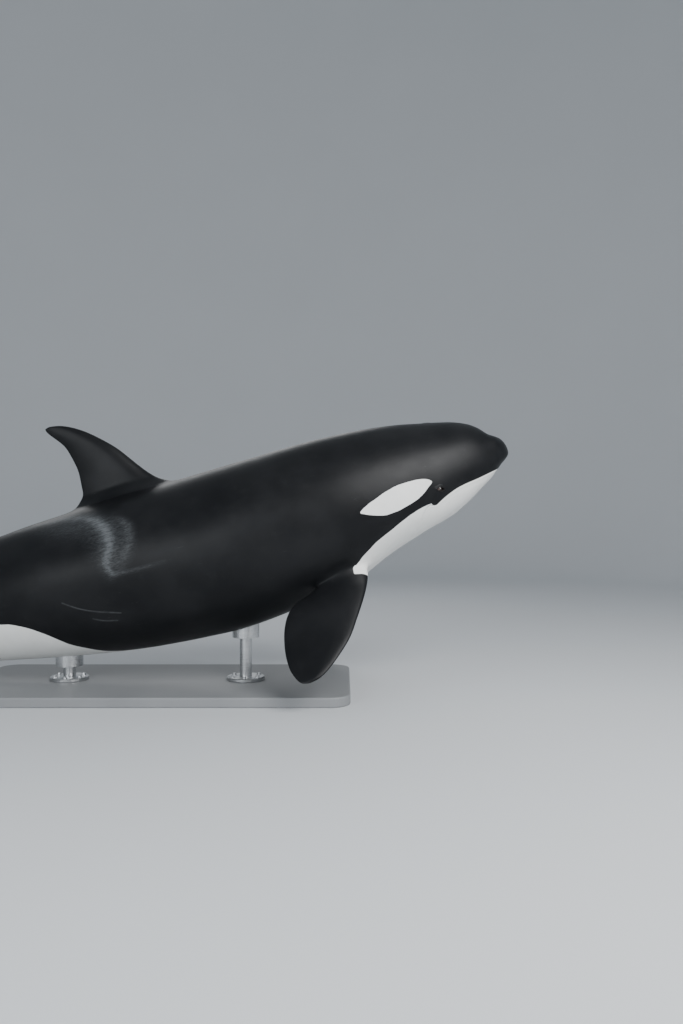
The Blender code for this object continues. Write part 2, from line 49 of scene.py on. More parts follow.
# Body sections: distance back, top, bottom, half width, level of the widest point,
# squareness above it and squareness below it
SECTIONS = (
    (0.00, 0.228, 0.050, 0.120, 0.120, 2.2, 3.0),
    (0.06, 0.224, 0.034, 0.138, 0.118, 2.2, 3.0),
    (0.10, 0.237, 0.010, 0.162, 0.115, 2.1, 3.0),
    (0.15, 0.292, -0.033, 0.195, 0.110, 2.1, 2.8),
    (0.22, 0.339, -0.078, 0.232, 0.100, 2.1, 2.6),
    (0.32, 0.376, -0.140, 0.272, 0.085, 2.1, 2.4),
    (0.45, 0.400, -0.206, 0.314, 0.065, 2.1, 2.3),
    (0.65, 0.437, -0.266, 0.368, 0.040, 2.15, 2.2),
    (0.88, 0.464, -0.343, 0.420, 0.010, 2.2, 2.15),
    (1.15, 0.471, -0.456, 0.462, -0.020, 2.2, 2.1),
    (1.50, 0.463, -0.530, 0.487, -0.045, 2.2, 2.1),
    (1.95, 0.448, -0.573, 0.490, -0.055, 2.15, 2.1),
    (2.40, 0.436, -0.553, 0.462, -0.050, 2.05, 2.1),
    (2.90, 0.404, -0.490, 0.398, -0.030, 1.95, 2.05),
    (3.40, 0.357, -0.400, 0.315, -0.010, 1.85, 1.95),
    (3.90, 0.292, -0.290, 0.222, 0.000, 1.75, 1.8),
    (4.30, 0.234, -0.208, 0.158, 0.008, 1.65, 1.7),
    (4.70, 0.172, -0.140, 0.106, 0.010, 1.6, 1.6),
    (5.00, 0.124, -0.096, 0.074, 0.010, 1.7, 1.7),
    (5.25, 0.082, -0.062, 0.056, 0.008, 1.7, 1.7),
    (5.52, 0.052, -0.034, 0.032, 0.006, 1.8, 1.8),
)
SNOUT_LEVEL = 0.105
SNOUT_ROUND = 0.10
TAIL_END = 5.52
TAIL_ROUND = 0.24

# Mouth, eyes and blowhole, as in the solids
MOUTH_LINE = (
    (0.080, 0.014), (0.101, 0.010), (0.247, -0.016), (0.383, -0.038),
    (0.472, -0.068), (0.526, -0.095), (0.560, -0.113), (0.596, -0.102),
)
JAW_TIP = 0.104
EYE_BACK = 0.514
EYE_LEVEL = -0.023
EYE_RADIUS = 0.026
BLOWHOLE_BACK = 0.440
BLOWHOLE_RADIUS = 0.045
BLOWHOLE_DEPTH_SHARE = 0.75
BLOWHOLE_SWEEP = math.radians(200)
BLOWHOLE_LEFT = 0.012

# Dorsal fin: level, front edge, rear edge and half thickness
DORSAL_FIN = (
    (0.360, 1.99, 2.80, 0.075),
    (0.430, 2.08, 2.755, 0.068),
    (0.468, 2.170, 2.700, 0.054),
    (0.500, 2.212, 2.683, 0.048),
    (0.560, 2.268, 2.681, 0.042),
    (0.640, 2.330, 2.677, 0.037),
    (0.735, 2.403, 2.694, 0.031),
    (0.825, 2.497, 2.722, 0.024),
    (0.890, 2.577, 2.772, 0.018),
    (0.935, 2.652, 2.808, 0.013),
    (0.960, 2.715, 2.817, 0.009),
    (0.971, 2.762, 2.805, 0.005),
)

# Flippers: distance out along the blade, front edge, rear edge and half thickness
FLIPPER = (
    (-0.170, -0.145, 0.135, 0.068),
    (0.000, -0.138, 0.140, 0.056),
    (0.080, -0.128, 0.185, 0.045),
    (0.120, -0.115, 0.290, 0.038),
    (0.170, -0.097, 0.360, 0.035),
    (0.260, -0.056, 0.406, 0.031),
    (0.360, -0.005, 0.428, 0.027),
    (0.470, 0.054, 0.436, 0.022),
    (0.570, 0.135, 0.429, 0.017),
    (0.650, 0.214, 0.404, 0.012),
    (0.690, 0.272, 0.378, 0.008),
    (0.704, 0.318, 0.350, 0.004),
)
FLIPPER_ROOT = (1.19, 0.27, -0.37)
FLIPPER_DROOP = math.radians(44.0)

# Tail flukes: distance out, front edge, rear edge, half thickness and level
FLUKE = (
    (0.000, 4.975, 5.600, 0.042, 0.008),
    (0.025, 5.030, 5.632, 0.042, 0.008),
    (0.060, 5.090, 5.662, 0.040, 0.008),
    (0.130, 5.165, 5.678, 0.033, 0.006),
    (0.240, 5.262, 5.680, 0.025, 0.002),
    (0.360, 5.372, 5.684, 0.018, -0.006),
    (0.480, 5.495, 5.698, 0.012, -0.018),
    (0.580, 5.612, 5.722, 0.008, -0.032),
    (0.640, 5.698, 5.745, 0.005, -0.042),
    (0.660, 5.738, 5.752, 0.003, -0.046),
)

# Streamlined fin sections, their edges and tips, and the fillets at their roots
FIN_BULGE = 2.49
FIN_TAPER = 0.9
FIN_EDGE = 0.0025
FIN_EDGE_START = 0.25
FIN_DIVISIONS = 44
FIN_STEP = 0.008
FIN_CROWDING = 1.35
TIP_ROUND = 0.010
EDGE_FLARE = 0.25
EDGE_EASING = 0.030
DORSAL_FILLET = 0.045
FLIPPER_FILLET = 0.018
FLUKE_FILLET = 0.045
FILLET_END = 5.45
FILLET_FADE = 0.25
FILLET_LEAST = 0.02
NOTCH_DEPTH = 0.020
NOTCH_WIDTH = 0.045

# Seams where the fins meet the body: how close points are welded, and how far out slivers are
# turned and the crease is smoothed. Then the rounds of smoothing and how often normals are renewed,
# the share of each move, and the share of its way inwards that is left out
SEAM_WELD = 0.0012
SEAM_TRIM = 0.020
SEAM_REACH = 0.085
SEAM_ROUNDS = 120
SEAM_TURN = 10
SEAM_PULL = 0.5
SEAM_KEEP = 0.85

# The skin's grid: spacing of its rings and points, and where it is made finer
NOSE_RINGS = 26
TAIL_RINGS = 26
HEAD_END = 0.75
HEAD_STEP = 0.0065
TRUNK_STEP = 0.018
TURN_COUNT = 320
REFINE_PASSES = 3
LONG_SHARE = 1.4
DOUBLE = 2e-5
TINY = 1e-6
PLACE_LOST = 0.03
GIRTH_ROWS = 400
GIRTH_COLUMNS = 241

# Where the skin's edges are kept short: reach from each form, and the spacing within it
MOUTH_FINE = ((0.045, 0.0045), (0.020, 0.0025), (0.008, 0.0018))
EYE_FINE = ((0.085, 0.0032), (0.044, 0.0014))
BLOWHOLE_FINE = ((0.030, 0.0030), (0.012, 0.0015))
SLIT_FINE = (0.035, 0.0035)
DORSAL_LINE = np.array([(2.10, 0.0, 0.44), (2.76, 0.0, 0.41)])
DORSAL_FINE = (0.15, 0.008)
FLIPPER_LINE = np.array([(1.06, 0.29, -0.40), (1.42, 0.33, -0.40)])
FLIPPER_FINE = (0.17, 0.008)
FLUKES_BACK = 5.30
FLUKES_FINE = (0.35, 0.008)
SCAR_FINE = (0.014, 0.005)
MARK_FINE = (0.014, 0.009)

# White and grey markings. The white of throat, belly and flanks: distance back, and distance
# round the skin from the belly's middle line, from behind the mouth's corner to the end of the
# middle prong. In front of the corner the white ends at the mouth line, where its edge is crisper
# by a strength and within a reach. The flippers' undersides are white only near their roots
BELLY_WHITE = (
    (0.566, 0.343), (0.580, 0.358), (0.594, 0.376), (0.684, 0.394), (0.760, 0.399),
    (0.905, 0.393), (0.975, 0.392), (1.041, 0.376), (1.097, 0.355), (1.134, 0.332),
    (1.148, 0.300), (1.146, 0.255), (1.160, 0.205), (1.220, 0.155), (1.400, 0.112),
    (1.700, 0.096), (2.050, 0.094), (2.400, 0.098), (2.600, 0.108), (2.700, 0.136),
    (2.773, 0.181), (2.845, 0.237), (2.917, 0.289), (2.967, 0.338), (3.056, 0.399),
    (3.162, 0.438), (3.271, 0.440), (3.420, 0.415), (3.600, 0.378), (3.780, 0.338),
    (3.900, 0.302), (3.960, 0.262), (3.945, 0.220), (3.860, 0.192), (3.700, 0.178),
    (3.560, 0.164), (3.440, 0.138), (3.400, 0.118), (3.440, 0.102), (3.600, 0.092),
    (3.800, 0.076), (3.980, 0.050), (4.060, 0.000),
)
BELLY_CLOSE = -0.15
LIP_WHITE_END = 0.562
LIP_CRISPNESS = (4.0, 0.02)
FLIPPER_BLACK = 0.072
MARK_REACH = 0.05
PATCH_SIDE = 0.15

# Eye patch: distance back and level of points round its edge
EYE_PATCH = (
    (1.013, -0.039), (0.949, -0.002), (0.846, 0.038), (0.761, 0.060), (0.673, 0.065),
    (0.602, 0.060), (0.566, 0.045), (0.553, 0.028), (0.585, 0.001), (0.625, -0.029),
    (0.670, -0.052), (0.731, -0.072), (0.798, -0.086), (0.871, -0.093), (0.937, -0.077),
    (0.994, -0.056),
)

# White under the flukes: dark margins at the front and rear edges, the middle and the tips
FLUKE_MARGINS = {"front": 0.045, "rear": 0.028, "middle": 0.008, "tip": 0.070}

# Grey saddle: streaks as distance back and level, with half width and strength
SADDLE_CORE = (
    (3.087, 0.361, 0.010, 0.08), (3.001, 0.366, 0.012, 0.16), (2.932, 0.373, 0.013, 0.26),
    (2.870, 0.373, 0.014, 0.36), (2.800, 0.372, 0.014, 0.44), (2.732, 0.364, 0.015, 0.50),
    (2.624, 0.334, 0.020, 0.62), (2.556, 0.294, 0.028, 0.86), (2.508, 0.239, 0.033, 1.00),
    (2.490, 0.182, 0.031, 1.00), (2.492, 0.129, 0.028, 0.90), (2.508, 0.084, 0.024, 0.68),
    (2.526, 0.039, 0.021, 0.52), (2.521, -0.002, 0.017, 0.44), (2.503, -0.035, 0.012, 0.42),
)
SADDLE_SECOND = (
    (2.440, 0.285, 0.012, 0.08), (2.402, 0.262, 0.018, 0.26), (2.368, 0.225, 0.020, 0.34),
    (2.354, 0.177, 0.021, 0.30), (2.370, 0.116, 0.020, 0.26), (2.407, 0.060, 0.018, 0.16),
    (2.451, 0.021, 0.012, 0.06),
)
SADDLE_LINE = (
    (2.503, -0.035, 0.010, 0.34), (2.398, -0.040, 0.010, 0.26),
    (2.291, -0.040, 0.009, 0.20), (2.183, -0.034, 0.008, 0.08),
)
SADDLE_SMOKE = (
    (3.087, 0.361), (2.932, 0.373), (2.800, 0.372), (2.624, 0.334), (2.551, 0.294),
    (2.499, 0.239), (2.475, 0.129), (2.526, 0.039), (2.521, -0.030), (2.565, 0.060),
    (2.640, 0.150), (2.780, 0.215), (2.930, 0.285),
)
SADDLE_SMOKE_EDGE = 0.09
SADDLE_FADE = (2.70, 3.14)
SADDLE_SMOKE_REACH = 0.075
SADDLE_SMOKE_STRENGTH = 0.52
SADDLE_VEIL = (
    (2.475, 0.30), (2.36, 0.23), (2.34, 0.17), (2.36, 0.08),
    (2.45, -0.02), (2.52, 0.02), (2.48, 0.13),
)
SADDLE_VEIL_EDGE = 0.05
SADDLE_VEIL_STRENGTH = 0.17

# Healed scratches on the flank: distance back and level
SCARS = (
    ((2.850, -0.125), (2.765, -0.180), (2.672, -0.221), (2.524, -0.267)),
    ((2.700, -0.262), (2.640, -0.288), (2.560, -0.306)),
)
SCAR_HALF_WIDTH = 0.007

# Eyelids and eyeballs
LID_OPEN_LENGTH = 0.0250
LID_OPEN_UPPER = 0.0105
LID_OPEN_LOWER = 0.0100
LID_TILT = math.radians(-12.0)
EYE_PIT = 0.019
EYE_WALL = 0.004
EYE_AROUND = 0.12
IRIS_ANGLE = 0.42
PUPIL_ANGLE = 0.17
CORNEA_HEIGHT = 0.0016
CORNEA_WIDTH = 1.15
PUPIL_OVAL = 1.35
GAZE_TURN = (0.18, 0.0, -0.10)

# Modelled folds as ridges, or as grooves where the height is negative: height, half width and
# distance from the line they follow. A shade is painted shade that darkens a fold, with strength in
# place of height
MOUTH_GROOVE = (-0.0060, 0.0026)
UPPER_LIP = (0.0028, 0.0105, 0.012)
LOWER_LIP = (0.0026, 0.0070, 0.008)
CHIN_DIP = (-0.0014, 0.030)
MOUTH_SHADE_WIDTHS = (0.0034, 0.0013)
CORNER_LINE = ((0.628, 0.0, -0.122), (0.655, 0.0, -0.160), (0.668, 0.0, -0.200))
CORNER_FOLD = (-0.0030, 0.006)
CORNER_SWELL = (0.0012, 0.018)
CORNER_SHADE = (0.35, 0.004)
EYE_SWELL = (0.0035, 0.060)
LID_SWELL = (0.0035, 0.014)
LID_RIM = (0.0026, 0.0026, 0.0018)
LID_SHADE = (1.0, 0.0032)
UPPER_LID_FOLDS = ((-0.0022, 0.0018, 0.0095), (-0.0010, 0.0022, 0.018))
UPPER_LID_SHADE = (0.5, 0.002, 0.0095)
LOWER_LID_FOLDS = ((-0.0016, 0.0018, 0.0080), (-0.0010, 0.0022, 0.0150))
LOWER_LID_SHADE = (0.4, 0.002, 0.0080)
BLOWHOLE_MOUND = (0.004, 0.075)
BLOWHOLE_SLIT = (-0.0065, 0.0022)
BLOWHOLE_LIPS = (0.0022, 0.0060, 0.007)
BLOWHOLE_SHADE = (1.0, 0.0026)

# Creases behind the jaw: distance back, both ends as distance round the skin, and depth
THROAT_FOLDS = (
    (0.700, 0.05, 0.33, 0.0016), (0.742, 0.08, 0.36, 0.0013),
    (0.800, 0.10, 0.34, 0.0010), (1.010, 0.12, 0.42, 0.0012),
)

# Slow unevenness of the skin: number of waves, their lengths and height for each metre of length
WAVE_COUNT = 14
WAVE_LENGTHS = (0.22, 0.75)
WAVE_HEIGHT = 0.0009
WAVE_SEED = 11

# Flat map for baking. For each piece, the band of its left or upper face and that of the other one:
# left, right, lower and upper ends. Then the head's larger scale
MAP_BANDS = (
    ((0.004, 0.996, 0.712, 0.996), (0.004, 0.996, 0.420, 0.704)),
    ((0.712, 0.850, 0.212, 0.412), (0.858, 0.996, 0.212, 0.412)),
    ((0.004, 0.246, 0.004, 0.204), (0.254, 0.496, 0.004, 0.204)),
    ((0.504, 0.746, 0.004, 0.204), (0.754, 0.996, 0.004, 0.204)),
    ((0.004, 0.350, 0.212, 0.412), (0.358, 0.704, 0.212, 0.412)),
)
MAP_HEAD_ZOOM = 1.0
MAP_HEAD_END = 1.10
MAP_HEAD_FADE = 0.40

# Step from snout to forehead: how far it is spread on the sides, and from which turn on fully
MELON_REACH = 0.075
MELON_TURN = math.radians(62.0)

# Hex bolts with washers that hold each foot of the stand down
BOLT_COUNT = 6
BOLT_RING = 0.090
BOLT_RADIUS = 0.0115
BOLT_HEIGHT = 0.009
WASHER_RADIUS = 0.0155
WASHER_HEIGHT = 0.0025
BOLT_BEVEL = 0.0007
BOLT_SHARP = math.radians(40)

# Colours, each from its base to the layers over it
BLACKS = ((0.0045, 0.0050, 0.0060), (0.0095, 0.0100, 0.0112), (0.016, 0.0165, 0.018), (0.022, 0.023, 0.025))
WHITES = ((0.86, 0.86, 0.835), (0.79, 0.795, 0.775), (0.69, 0.685, 0.655), (0.50, 0.50, 0.48))
SADDLE_GREY = (0.112, 0.120, 0.127)
SCAR_GREY = (0.11, 0.115, 0.12)
SCRATCH_GREY = (0.45, 0.45, 0.44)
# Painted shade in the bottoms of the mouth's groove, the lid folds, the blowhole and the slits
CREASE_PAINTED_SHADE = (0.012, 0.011, 0.011)
# Painted shade inside the eyelids' opening, fading out over the lids' rims
EYE_PIT_PAINTED_SHADE = (0.010, 0.009, 0.009)
SKIN_SHINE = 0.18
EYE_WHITES = ((0.035, 0.020, 0.017), (0.080, 0.048, 0.040))
IRIS_BROWNS = ((0.010, 0.005, 0.003), (0.045, 0.022, 0.010))
IRIS_RIM = (0.006, 0.004, 0.004)
PUPIL_BLACK = (0.0015, 0.0015, 0.002)
PAINT_GREYS = ((0.205, 0.212, 0.220), (0.240, 0.247, 0.255), (0.30, 0.305, 0.31))
STEEL_GREYS = ((0.50, 0.51, 0.52), (0.62, 0.625, 0.63))
STAGE_GREYS = ((0.60, 0.62, 0.64), (0.63, 0.65, 0.67))

# The room's light, and an overhead key from the snout's side, a wide fill from the camera's side and
# a back light: place, width and height, power and colour
ROOM_COLOUR = (0.80, 0.86, 0.92, 1.0)
ROOM_STRENGTH = 0.50
LIGHTS = {
    "key_light": ((4.2, -5.0, 4.6), (4.0, 4.0), 600.0, (1.0, 1.0, 1.0)),
    "fill_light": ((-3.0, -7.0, 2.2), (5.0, 3.0), 230.0, (0.93, 0.97, 1.0)),
    "back_light": ((-1.5, 5.5, 4.2), (6.0, 2.0), 75.0, (1.0, 1.0, 1.0)),
}
LIGHTS_AIM = (0.3, 0.0, 0.9)

# Camera: the photo's view, level, from the animal's right
VIEW_BACK = 1.1196
VIEW_LEVEL = -0.0108
VIEW_DISTANCE = 5.5
VIEW_LENS = 30.41

FLESH = (
    "head", "lower_jaw", "thorax", "abdomen", "tail_stock", "dorsal_fin",
    "flipper_left", "flipper_right", "fluke_left", "fluke_right",
)


def held(values):
    """Values held between 0 and 1."""
    return np.clip(values, 0.0, 1.0)


def smooth(share):
    """A share from 0 to 1, eased at both ends."""
    return share * share * (3 - 2 * share)


def smooth_curves(rows):
    """Functions of the first column that pass through the others without overshooting."""
    table = np.array(rows, float)
    places = table[:, 0]
    steps = np.diff(places)

    def column(values):
        rises = np.diff(values) / steps
        before, after = rises[:-1], rises[1:]
        bends = before * after > 0.0
        total = np.where(bends, before + after, 1.0)
        inner = np.where(bends, 2.0 * before * after / total, 0.0)
        slopes = np.concatenate([rises[:1], inner, rises[-1:]])

        def value(place):
            place = np.clip(place, places[0], places[-1])
            i = np.clip(np.searchsorted(places, place, side="left") - 1, 0, len(steps) - 1)
            t = (place - places[i]) / steps[i]
            start = values[i] * (1 + 2 * t) * (1 - t) ** 2
            end = values[i + 1] * t * t * (3 - 2 * t)
            leave = slopes[i] * steps[i] * t * (1 - t) ** 2
            arrive = slopes[i + 1] * steps[i] * t * t * (t - 1)
            return start + end + leave + arrive

        return value

    return [column(table[:, index]) for index in range(1, table.shape[1])]


TOP, BOTTOM, HALF_WIDTH, WIDEST, ABOVE, BELOW = smooth_curves(SECTIONS)
(MOUTH_LEVEL,) = smooth_curves(MOUTH_LINE)
FLUKE_FRONT, FLUKE_REAR, _, FLUKE_LEVEL = smooth_curves(FLUKE)
BEND = (PITCH - TAIL_PITCH) / (LENGTH - BEND_START)


def place(back, left, up):
    """World points of body places."""
    back, left, up = np.broadcast_arrays(*(np.asarray(v, float) for v in (back, left, up)))
    straight = np.minimum(back, BEND_START)
    pitch = PITCH - BEND * np.maximum(back - BEND_START, 0.0)
    x = (STAND_UNDER - straight) * math.cos(PITCH) - (math.sin(PITCH) - np.sin(pitch)) / BEND
    z = SPINE_HEIGHT - straight * math.sin(PITCH) - (np.cos(pitch) - math.cos(PITCH)) / BEND
    return np.stack([x - np.sin(pitch) * up, left, z + np.cos(pitch) * up], axis=-1)


def locate(points):
    """Body places of world points."""
    start = place(0.0, 0.0, 0.0)
    x, z = points[:, 0] - start[0], points[:, 2] - start[2]
    back = -(x * math.cos(PITCH) + z * math.sin(PITCH))
    up = -x * math.sin(PITCH) + z * math.cos(PITCH)
    centre = place(BEND_START, 0.0, 1.0 / BEND)
    cx, cz = centre[0] - points[:, 0], centre[2] - points[:, 2]
    bent_back = BEND_START + (PITCH - np.arctan2(-cx, cz)) / BEND
    bent_up = 1.0 / BEND - np.hypot(cx, cz)
    bent = back > BEND_START
    return np.where(bent, bent_back, back), points[:, 1], np.where(bent, bent_up, up)


def end_round(back):
    """Share of its full section that the body keeps near the snout and the tail's end."""
    from_snout = held(back / SNOUT_ROUND)
    from_tail = held((TAIL_END - back) / TAIL_ROUND)
    return np.sqrt(1.0 - (1.0 - from_snout) ** 2) * np.sqrt(1.0 - (1.0 - from_tail) ** 2)


def section(back):
    """Centre level, reach above and below it, half width and squareness of sections."""
    share = end_round(back)
    blend = held((back - SNOUT_ROUND) / SNOUT_ROUND)
    level = SNOUT_LEVEL + (WIDEST(back) - SNOUT_LEVEL) * blend
    above = (TOP(back) - level) * share
    below = (level - BOTTOM(back)) * share
    return level, above, below, HALF_WIDTH(back) * share, ABOVE(back), BELOW(back)


def skin_spot(back, turn):
    """Body places on the skin, with turn 0 on the back and half a turn on the belly."""
    level, above, below, half_width, upper, lower = section(back)
    up, out = np.cos(turn), np.sin(turn)
    power = 2.0 / np.where(up >= 0.0, upper, lower)
    reach = np.where(up >= 0.0, above, below)
    height = level + np.sign(up) * np.abs(up) ** power * reach
    width = np.sign(out) * np.abs(out) ** power * half_width
    return np.stack([back, width, height], axis=-1)


def section_at(back, level_at):
    """Rise over a section's centre, its reach and squareness on that side, and its half width."""
    level, above, below, half_width, upper, lower = section(back)
    rise = level_at - level
    reach = np.maximum(np.where(rise >= 0.0, above, below), TINY)
    return rise, reach, np.where(rise >= 0.0, upper, lower), half_width


def skin_width(back, level_at):
    """Half width of the body at a level."""
    rise, reach, power, half_width = section_at(back, level_at)
    share = held(np.abs(rise) / reach)
    return half_width * (1.0 - share**power) ** (1.0 / power)


def skin_top(back, left):
    """Level of the back at a distance out from its middle line."""
    level, above, _, half_width, upper, _ = section(back)
    share = held(np.abs(left) / half_width)
    return level + above * (1.0 - share**upper) ** (1.0 / upper)


def skin_turn(back, side, level_at):
    """Turn, from 0 on the back to half a turn on the belly, of body places near the skin."""
    rise, reach, power, half_width = section_at(back, level_at)
    out = (np.abs(side) / np.maximum(half_width, TINY)) ** (power / 2)
    up = np.sign(rise) * (np.abs(rise) / reach) ** (power / 2)
    return np.arctan2(out, up)


def height_over_skin(back, side, level_at):
    """Rough distance of body places from the plain skin, positive outside it."""
    rise, reach, power, half_width = section_at(back, level_at)
    gauge = (np.abs(side) / np.maximum(half_width, TINY)) ** power + (np.abs(rise) / reach) ** power
    gauge = np.maximum(gauge, 1e-9) ** (1.0 / power)
    return np.hypot(side, rise) * (1.0 - 1.0 / gauge)


def girth_table(backs, turns):
    """Distances round the skin from the belly's middle line, for each section and turn."""
    spots = skin_spot(backs[:, None] + 0.0 * turns, turns[None, :] + 0.0 * backs[:, None])
    steps = np.hypot(np.diff(spots[..., 1], axis=1), np.diff(spots[..., 2], axis=1))
    return np.concatenate([np.zeros((len(backs), 1)), np.cumsum(steps, axis=1)], axis=1)


GIRTH_BACKS = np.linspace(0.001, TAIL_END - 0.001, GIRTH_ROWS)
GIRTHS = girth_table(GIRTH_BACKS, np.linspace(math.pi, 0.0, GIRTH_COLUMNS))


def girth(back, turn):
    """Distance round the skin from the belly's middle line."""
    row = (back - GIRTH_BACKS[0]) / (GIRTH_BACKS[1] - GIRTH_BACKS[0])
    column = (math.pi - turn) / math.pi * (GIRTH_COLUMNS - 1)
    row = np.clip(row, 0, GIRTH_ROWS - 1.001)
    column = np.clip(column, 0, GIRTH_COLUMNS - 1.001)
    i, j = row.astype(int), column.astype(int)
    a, b = row - i, column - j
    low = GIRTHS[i, j] * (1 - b) + GIRTHS[i, j + 1] * b
    high = GIRTHS[i + 1, j] * (1 - b) + GIRTHS[i + 1, j + 1] * b
    return low * (1 - a) + high * a


def line_distance(points, line):
    """Distance from each point to a line through the given points, and the place along it."""
    best = np.full(len(points), np.inf)
    along = np.zeros(len(points))
    for i, (start, end) in enumerate(zip(line, line[1:])):
        run = end - start
        share = held((points - start) @ run / max(run @ run, 1e-12))
        distance = np.linalg.norm(points - start - share[:, None] * run, axis=1)
        closer = distance < best
        best = np.where(closer, distance, best)
        along = np.where(closer, (i + share) / (len(line) - 1), along)
    return best, along


def round_line(points, closed, steps=8):
    """A smooth line through the given points."""
    knots = np.array(points, float)
    if closed:
        knots = np.concatenate([knots[-1:], knots, knots[:2]])
    else:
        knots = np.concatenate([knots[:1] * 2 - knots[1:2], knots, knots[-1:] * 2 - knots[-2:-1]])
    line = []
    for a, b, c, d in zip(knots, knots[1:], knots[2:], knots[3:]):
        for t in np.arange(steps) / steps:
            line.append(
                b
                + 0.5 * t * (c - a)
                + t * t * (a - 2.5 * b + 2 * c - 0.5 * d)
                + t**3 * (1.5 * b - 0.5 * a - 1.5 * c + 0.5 * d)
            )
    line.append(knots[-2] if not closed else line[0])
    return np.array(line)


def inside_distance(points, outline, reach=MARK_REACH):
    """Distance inside a closed outline, negative outside, and no lower than -reach."""
    low, high = outline.min(axis=0) - reach, outline.max(axis=0) + reach
    near = np.all((points > low) & (points < high), axis=1)
    spots = points[near]
    distance, _ = line_distance(spots, outline)
    inside = np.zeros(len(spots), bool)
    for (ax, ay), (bx, by) in zip(outline, outline[1:]):
        if ay == by:
            continue
        crosses = (ay > spots[:, 1]) != (by > spots[:, 1])
        inside ^= crosses & (spots[:, 0] < ax + (spots[:, 1] - ay) * (bx - ax) / (by - ay))
    found = np.full(len(points), -reach)
    found[near] = np.maximum(np.where(inside, distance, -distance), -reach)
    return found


def mouth_line():
    """Body places along the closed mouth, from its front to one corner."""
    share = np.linspace(0.0, 1.0, 60) ** 1.8
    back = JAW_TIP + (MOUTH_LINE[-1][0] - JAW_TIP) * share
    level = MOUTH_LEVEL(back)
    width = skin_width(back, level)
    width[0] = 0.0
    return np.stack([back, width, level], axis=-1)


MOUTH = mouth_line()
MOUTH_CORNER = MOUTH[-1]


def blowhole_line():
    """Body places along the blowhole's crescent, its horns forward."""
    turn = np.linspace(-0.5, 0.5, 24) * BLOWHOLE_SWEEP
    back = BLOWHOLE_BACK + BLOWHOLE_RADIUS * BLOWHOLE_DEPTH_SHARE * np.cos(turn)
    left = BLOWHOLE_LEFT + BLOWHOLE_RADIUS * np.sin(turn)
    return np.stack([back, left, skin_top(back, left)], axis=-1)


BLOWHOLE = blowhole_line()


def eye_frame():
    """Body place on the skin over the left eye, and its forward, upward and outward directions."""
    step = 0.005

    def spot(back, level):
        return np.array([back, float(skin_width(back, level)), level])

    centre = spot(EYE_BACK, EYE_LEVEL)
    forward = spot(EYE_BACK - step, EYE_LEVEL) - spot(EYE_BACK + step, EYE_LEVEL)
    forward /= np.linalg.norm(forward)
    rise = spot(EYE_BACK, EYE_LEVEL + step) - spot(EYE_BACK, EYE_LEVEL - step)
    rise -= forward * (rise @ forward)
    rise /= np.linalg.norm(rise)
    outward = np.cross(forward, rise)
    if outward[1] < 0.0:
        outward = -outward
    along = forward * math.cos(LID_TILT) + rise * math.sin(LID_TILT)
    across = rise * math.cos(LID_TILT) - forward * math.sin(LID_TILT)
    return centre, along, across, outward


EYE_SPOT, EYE_ALONG, EYE_ACROSS, EYE_OUT = eye_frame()

# Slits under the belly: both ends as distance back and out, half width, depth
SLITS = (
    ((2.600, 0.0), (2.655, 0.0), 0.010, 0.008),
    ((3.640, 0.0), (3.860, 0.0), 0.005, 0.010),
    ((3.720, 0.048), (3.790, 0.050), 0.004, 0.006),
    ((3.960, 0.0), (4.000, 0.0), 0.005, 0.007),
)


def slit_line(start, end):
    """Body places of both ends of a slit, on the belly."""
    return np.array([(*start, BOTTOM(start[0])), (*end, BOTTOM(end[0]))])


def mirrored(spots):
    """Body places moved to the left side."""
    return np.stack([spots[:, 0], np.abs(spots[:, 1]), spots[:, 2]], axis=-1)


def head_distance(spots, line):
    """Distance from places on the head to a line, and 1 for places behind the head."""
    head = spots[:, 0] < HEAD_END
    distance = np.full(len(spots), 1.0)
    distance[head] = line_distance(spots[head], line)[0]
    return distance


def white_edge():
    """The closed outline of the white below, as distance back and distance round the skin."""
    lip = MOUTH[MOUTH[:, 0] < LIP_WHITE_END]
    around = girth(lip[:, 0], skin_turn(lip[:, 0], lip[:, 1], lip[:, 2]))
    lip_edge = np.stack([lip[:, 0], around], axis=-1)
    edge = np.concatenate([lip_edge, round_line(BELLY_WHITE, False)])
    closing = np.array([(edge[-1][0], BELLY_CLOSE), (edge[0][0], BELLY_CLOSE), edge[0]])
    return np.concatenate([edge, closing])


WHITE_EDGE = white_edge()
PATCH_EDGE = round_line(EYE_PATCH, True)


def lid_distance(spots):
    """Distance outside the eyelids' opening, negative inside it, and the place above its middle."""
    along = (spots - EYE_SPOT) @ EYE_ALONG
    across = (spots - EYE_SPOT) @ EYE_ACROSS
    share = held(1.0 - (along / LID_OPEN_LENGTH) ** 2) ** 0.75
    half = np.where(across >= 0.0, LID_OPEN_UPPER, LID_OPEN_LOWER) * share
    past = np.maximum(np.abs(along) - LID_OPEN_LENGTH, 0.0)
    return np.where(past > 0.0, np.hypot(past, across), np.abs(across) - half), along, across


def markings(back, side, level):
    """Signed distances inside the belly's white, the eye patch and the white under the flukes."""
    around = girth(back, skin_turn(back, side, level))
    belly = inside_distance(np.stack([back, around], axis=-1), WHITE_EDGE)
    patch = inside_distance(np.stack([back, level], axis=-1), PATCH_EDGE)
    out = np.abs(side)
    patch = np.where(out > PATCH_SIDE, patch, -MARK_REACH)
    insets = {
        "front": back - FLUKE_FRONT(out),
        "rear": FLUKE_REAR(out) - back,
        "middle": out - HALF_WIDTH(back),
        "tip": FLUKE[-1][0] - out,
    }
    under = np.minimum.reduce([inset - FLUKE_MARGINS[name] for name, inset in insets.items()])
    under = np.where((level < FLUKE_LEVEL(out)) & (back > FLUKE[0][1]), under, -MARK_REACH)
    return belly, patch, np.clip(under, -MARK_REACH, MARK_REACH)


def flipper_place(side, level):
    """Distances out along a flipper and up across it, for body places."""
    out = np.abs(side) - FLIPPER_ROOT[1]
    up = level - FLIPPER_ROOT[2]
    run, drop = math.sin(FLIPPER_DROOP), math.cos(FLIPPER_DROOP)
    return out * run - up * drop, up * run + out * drop


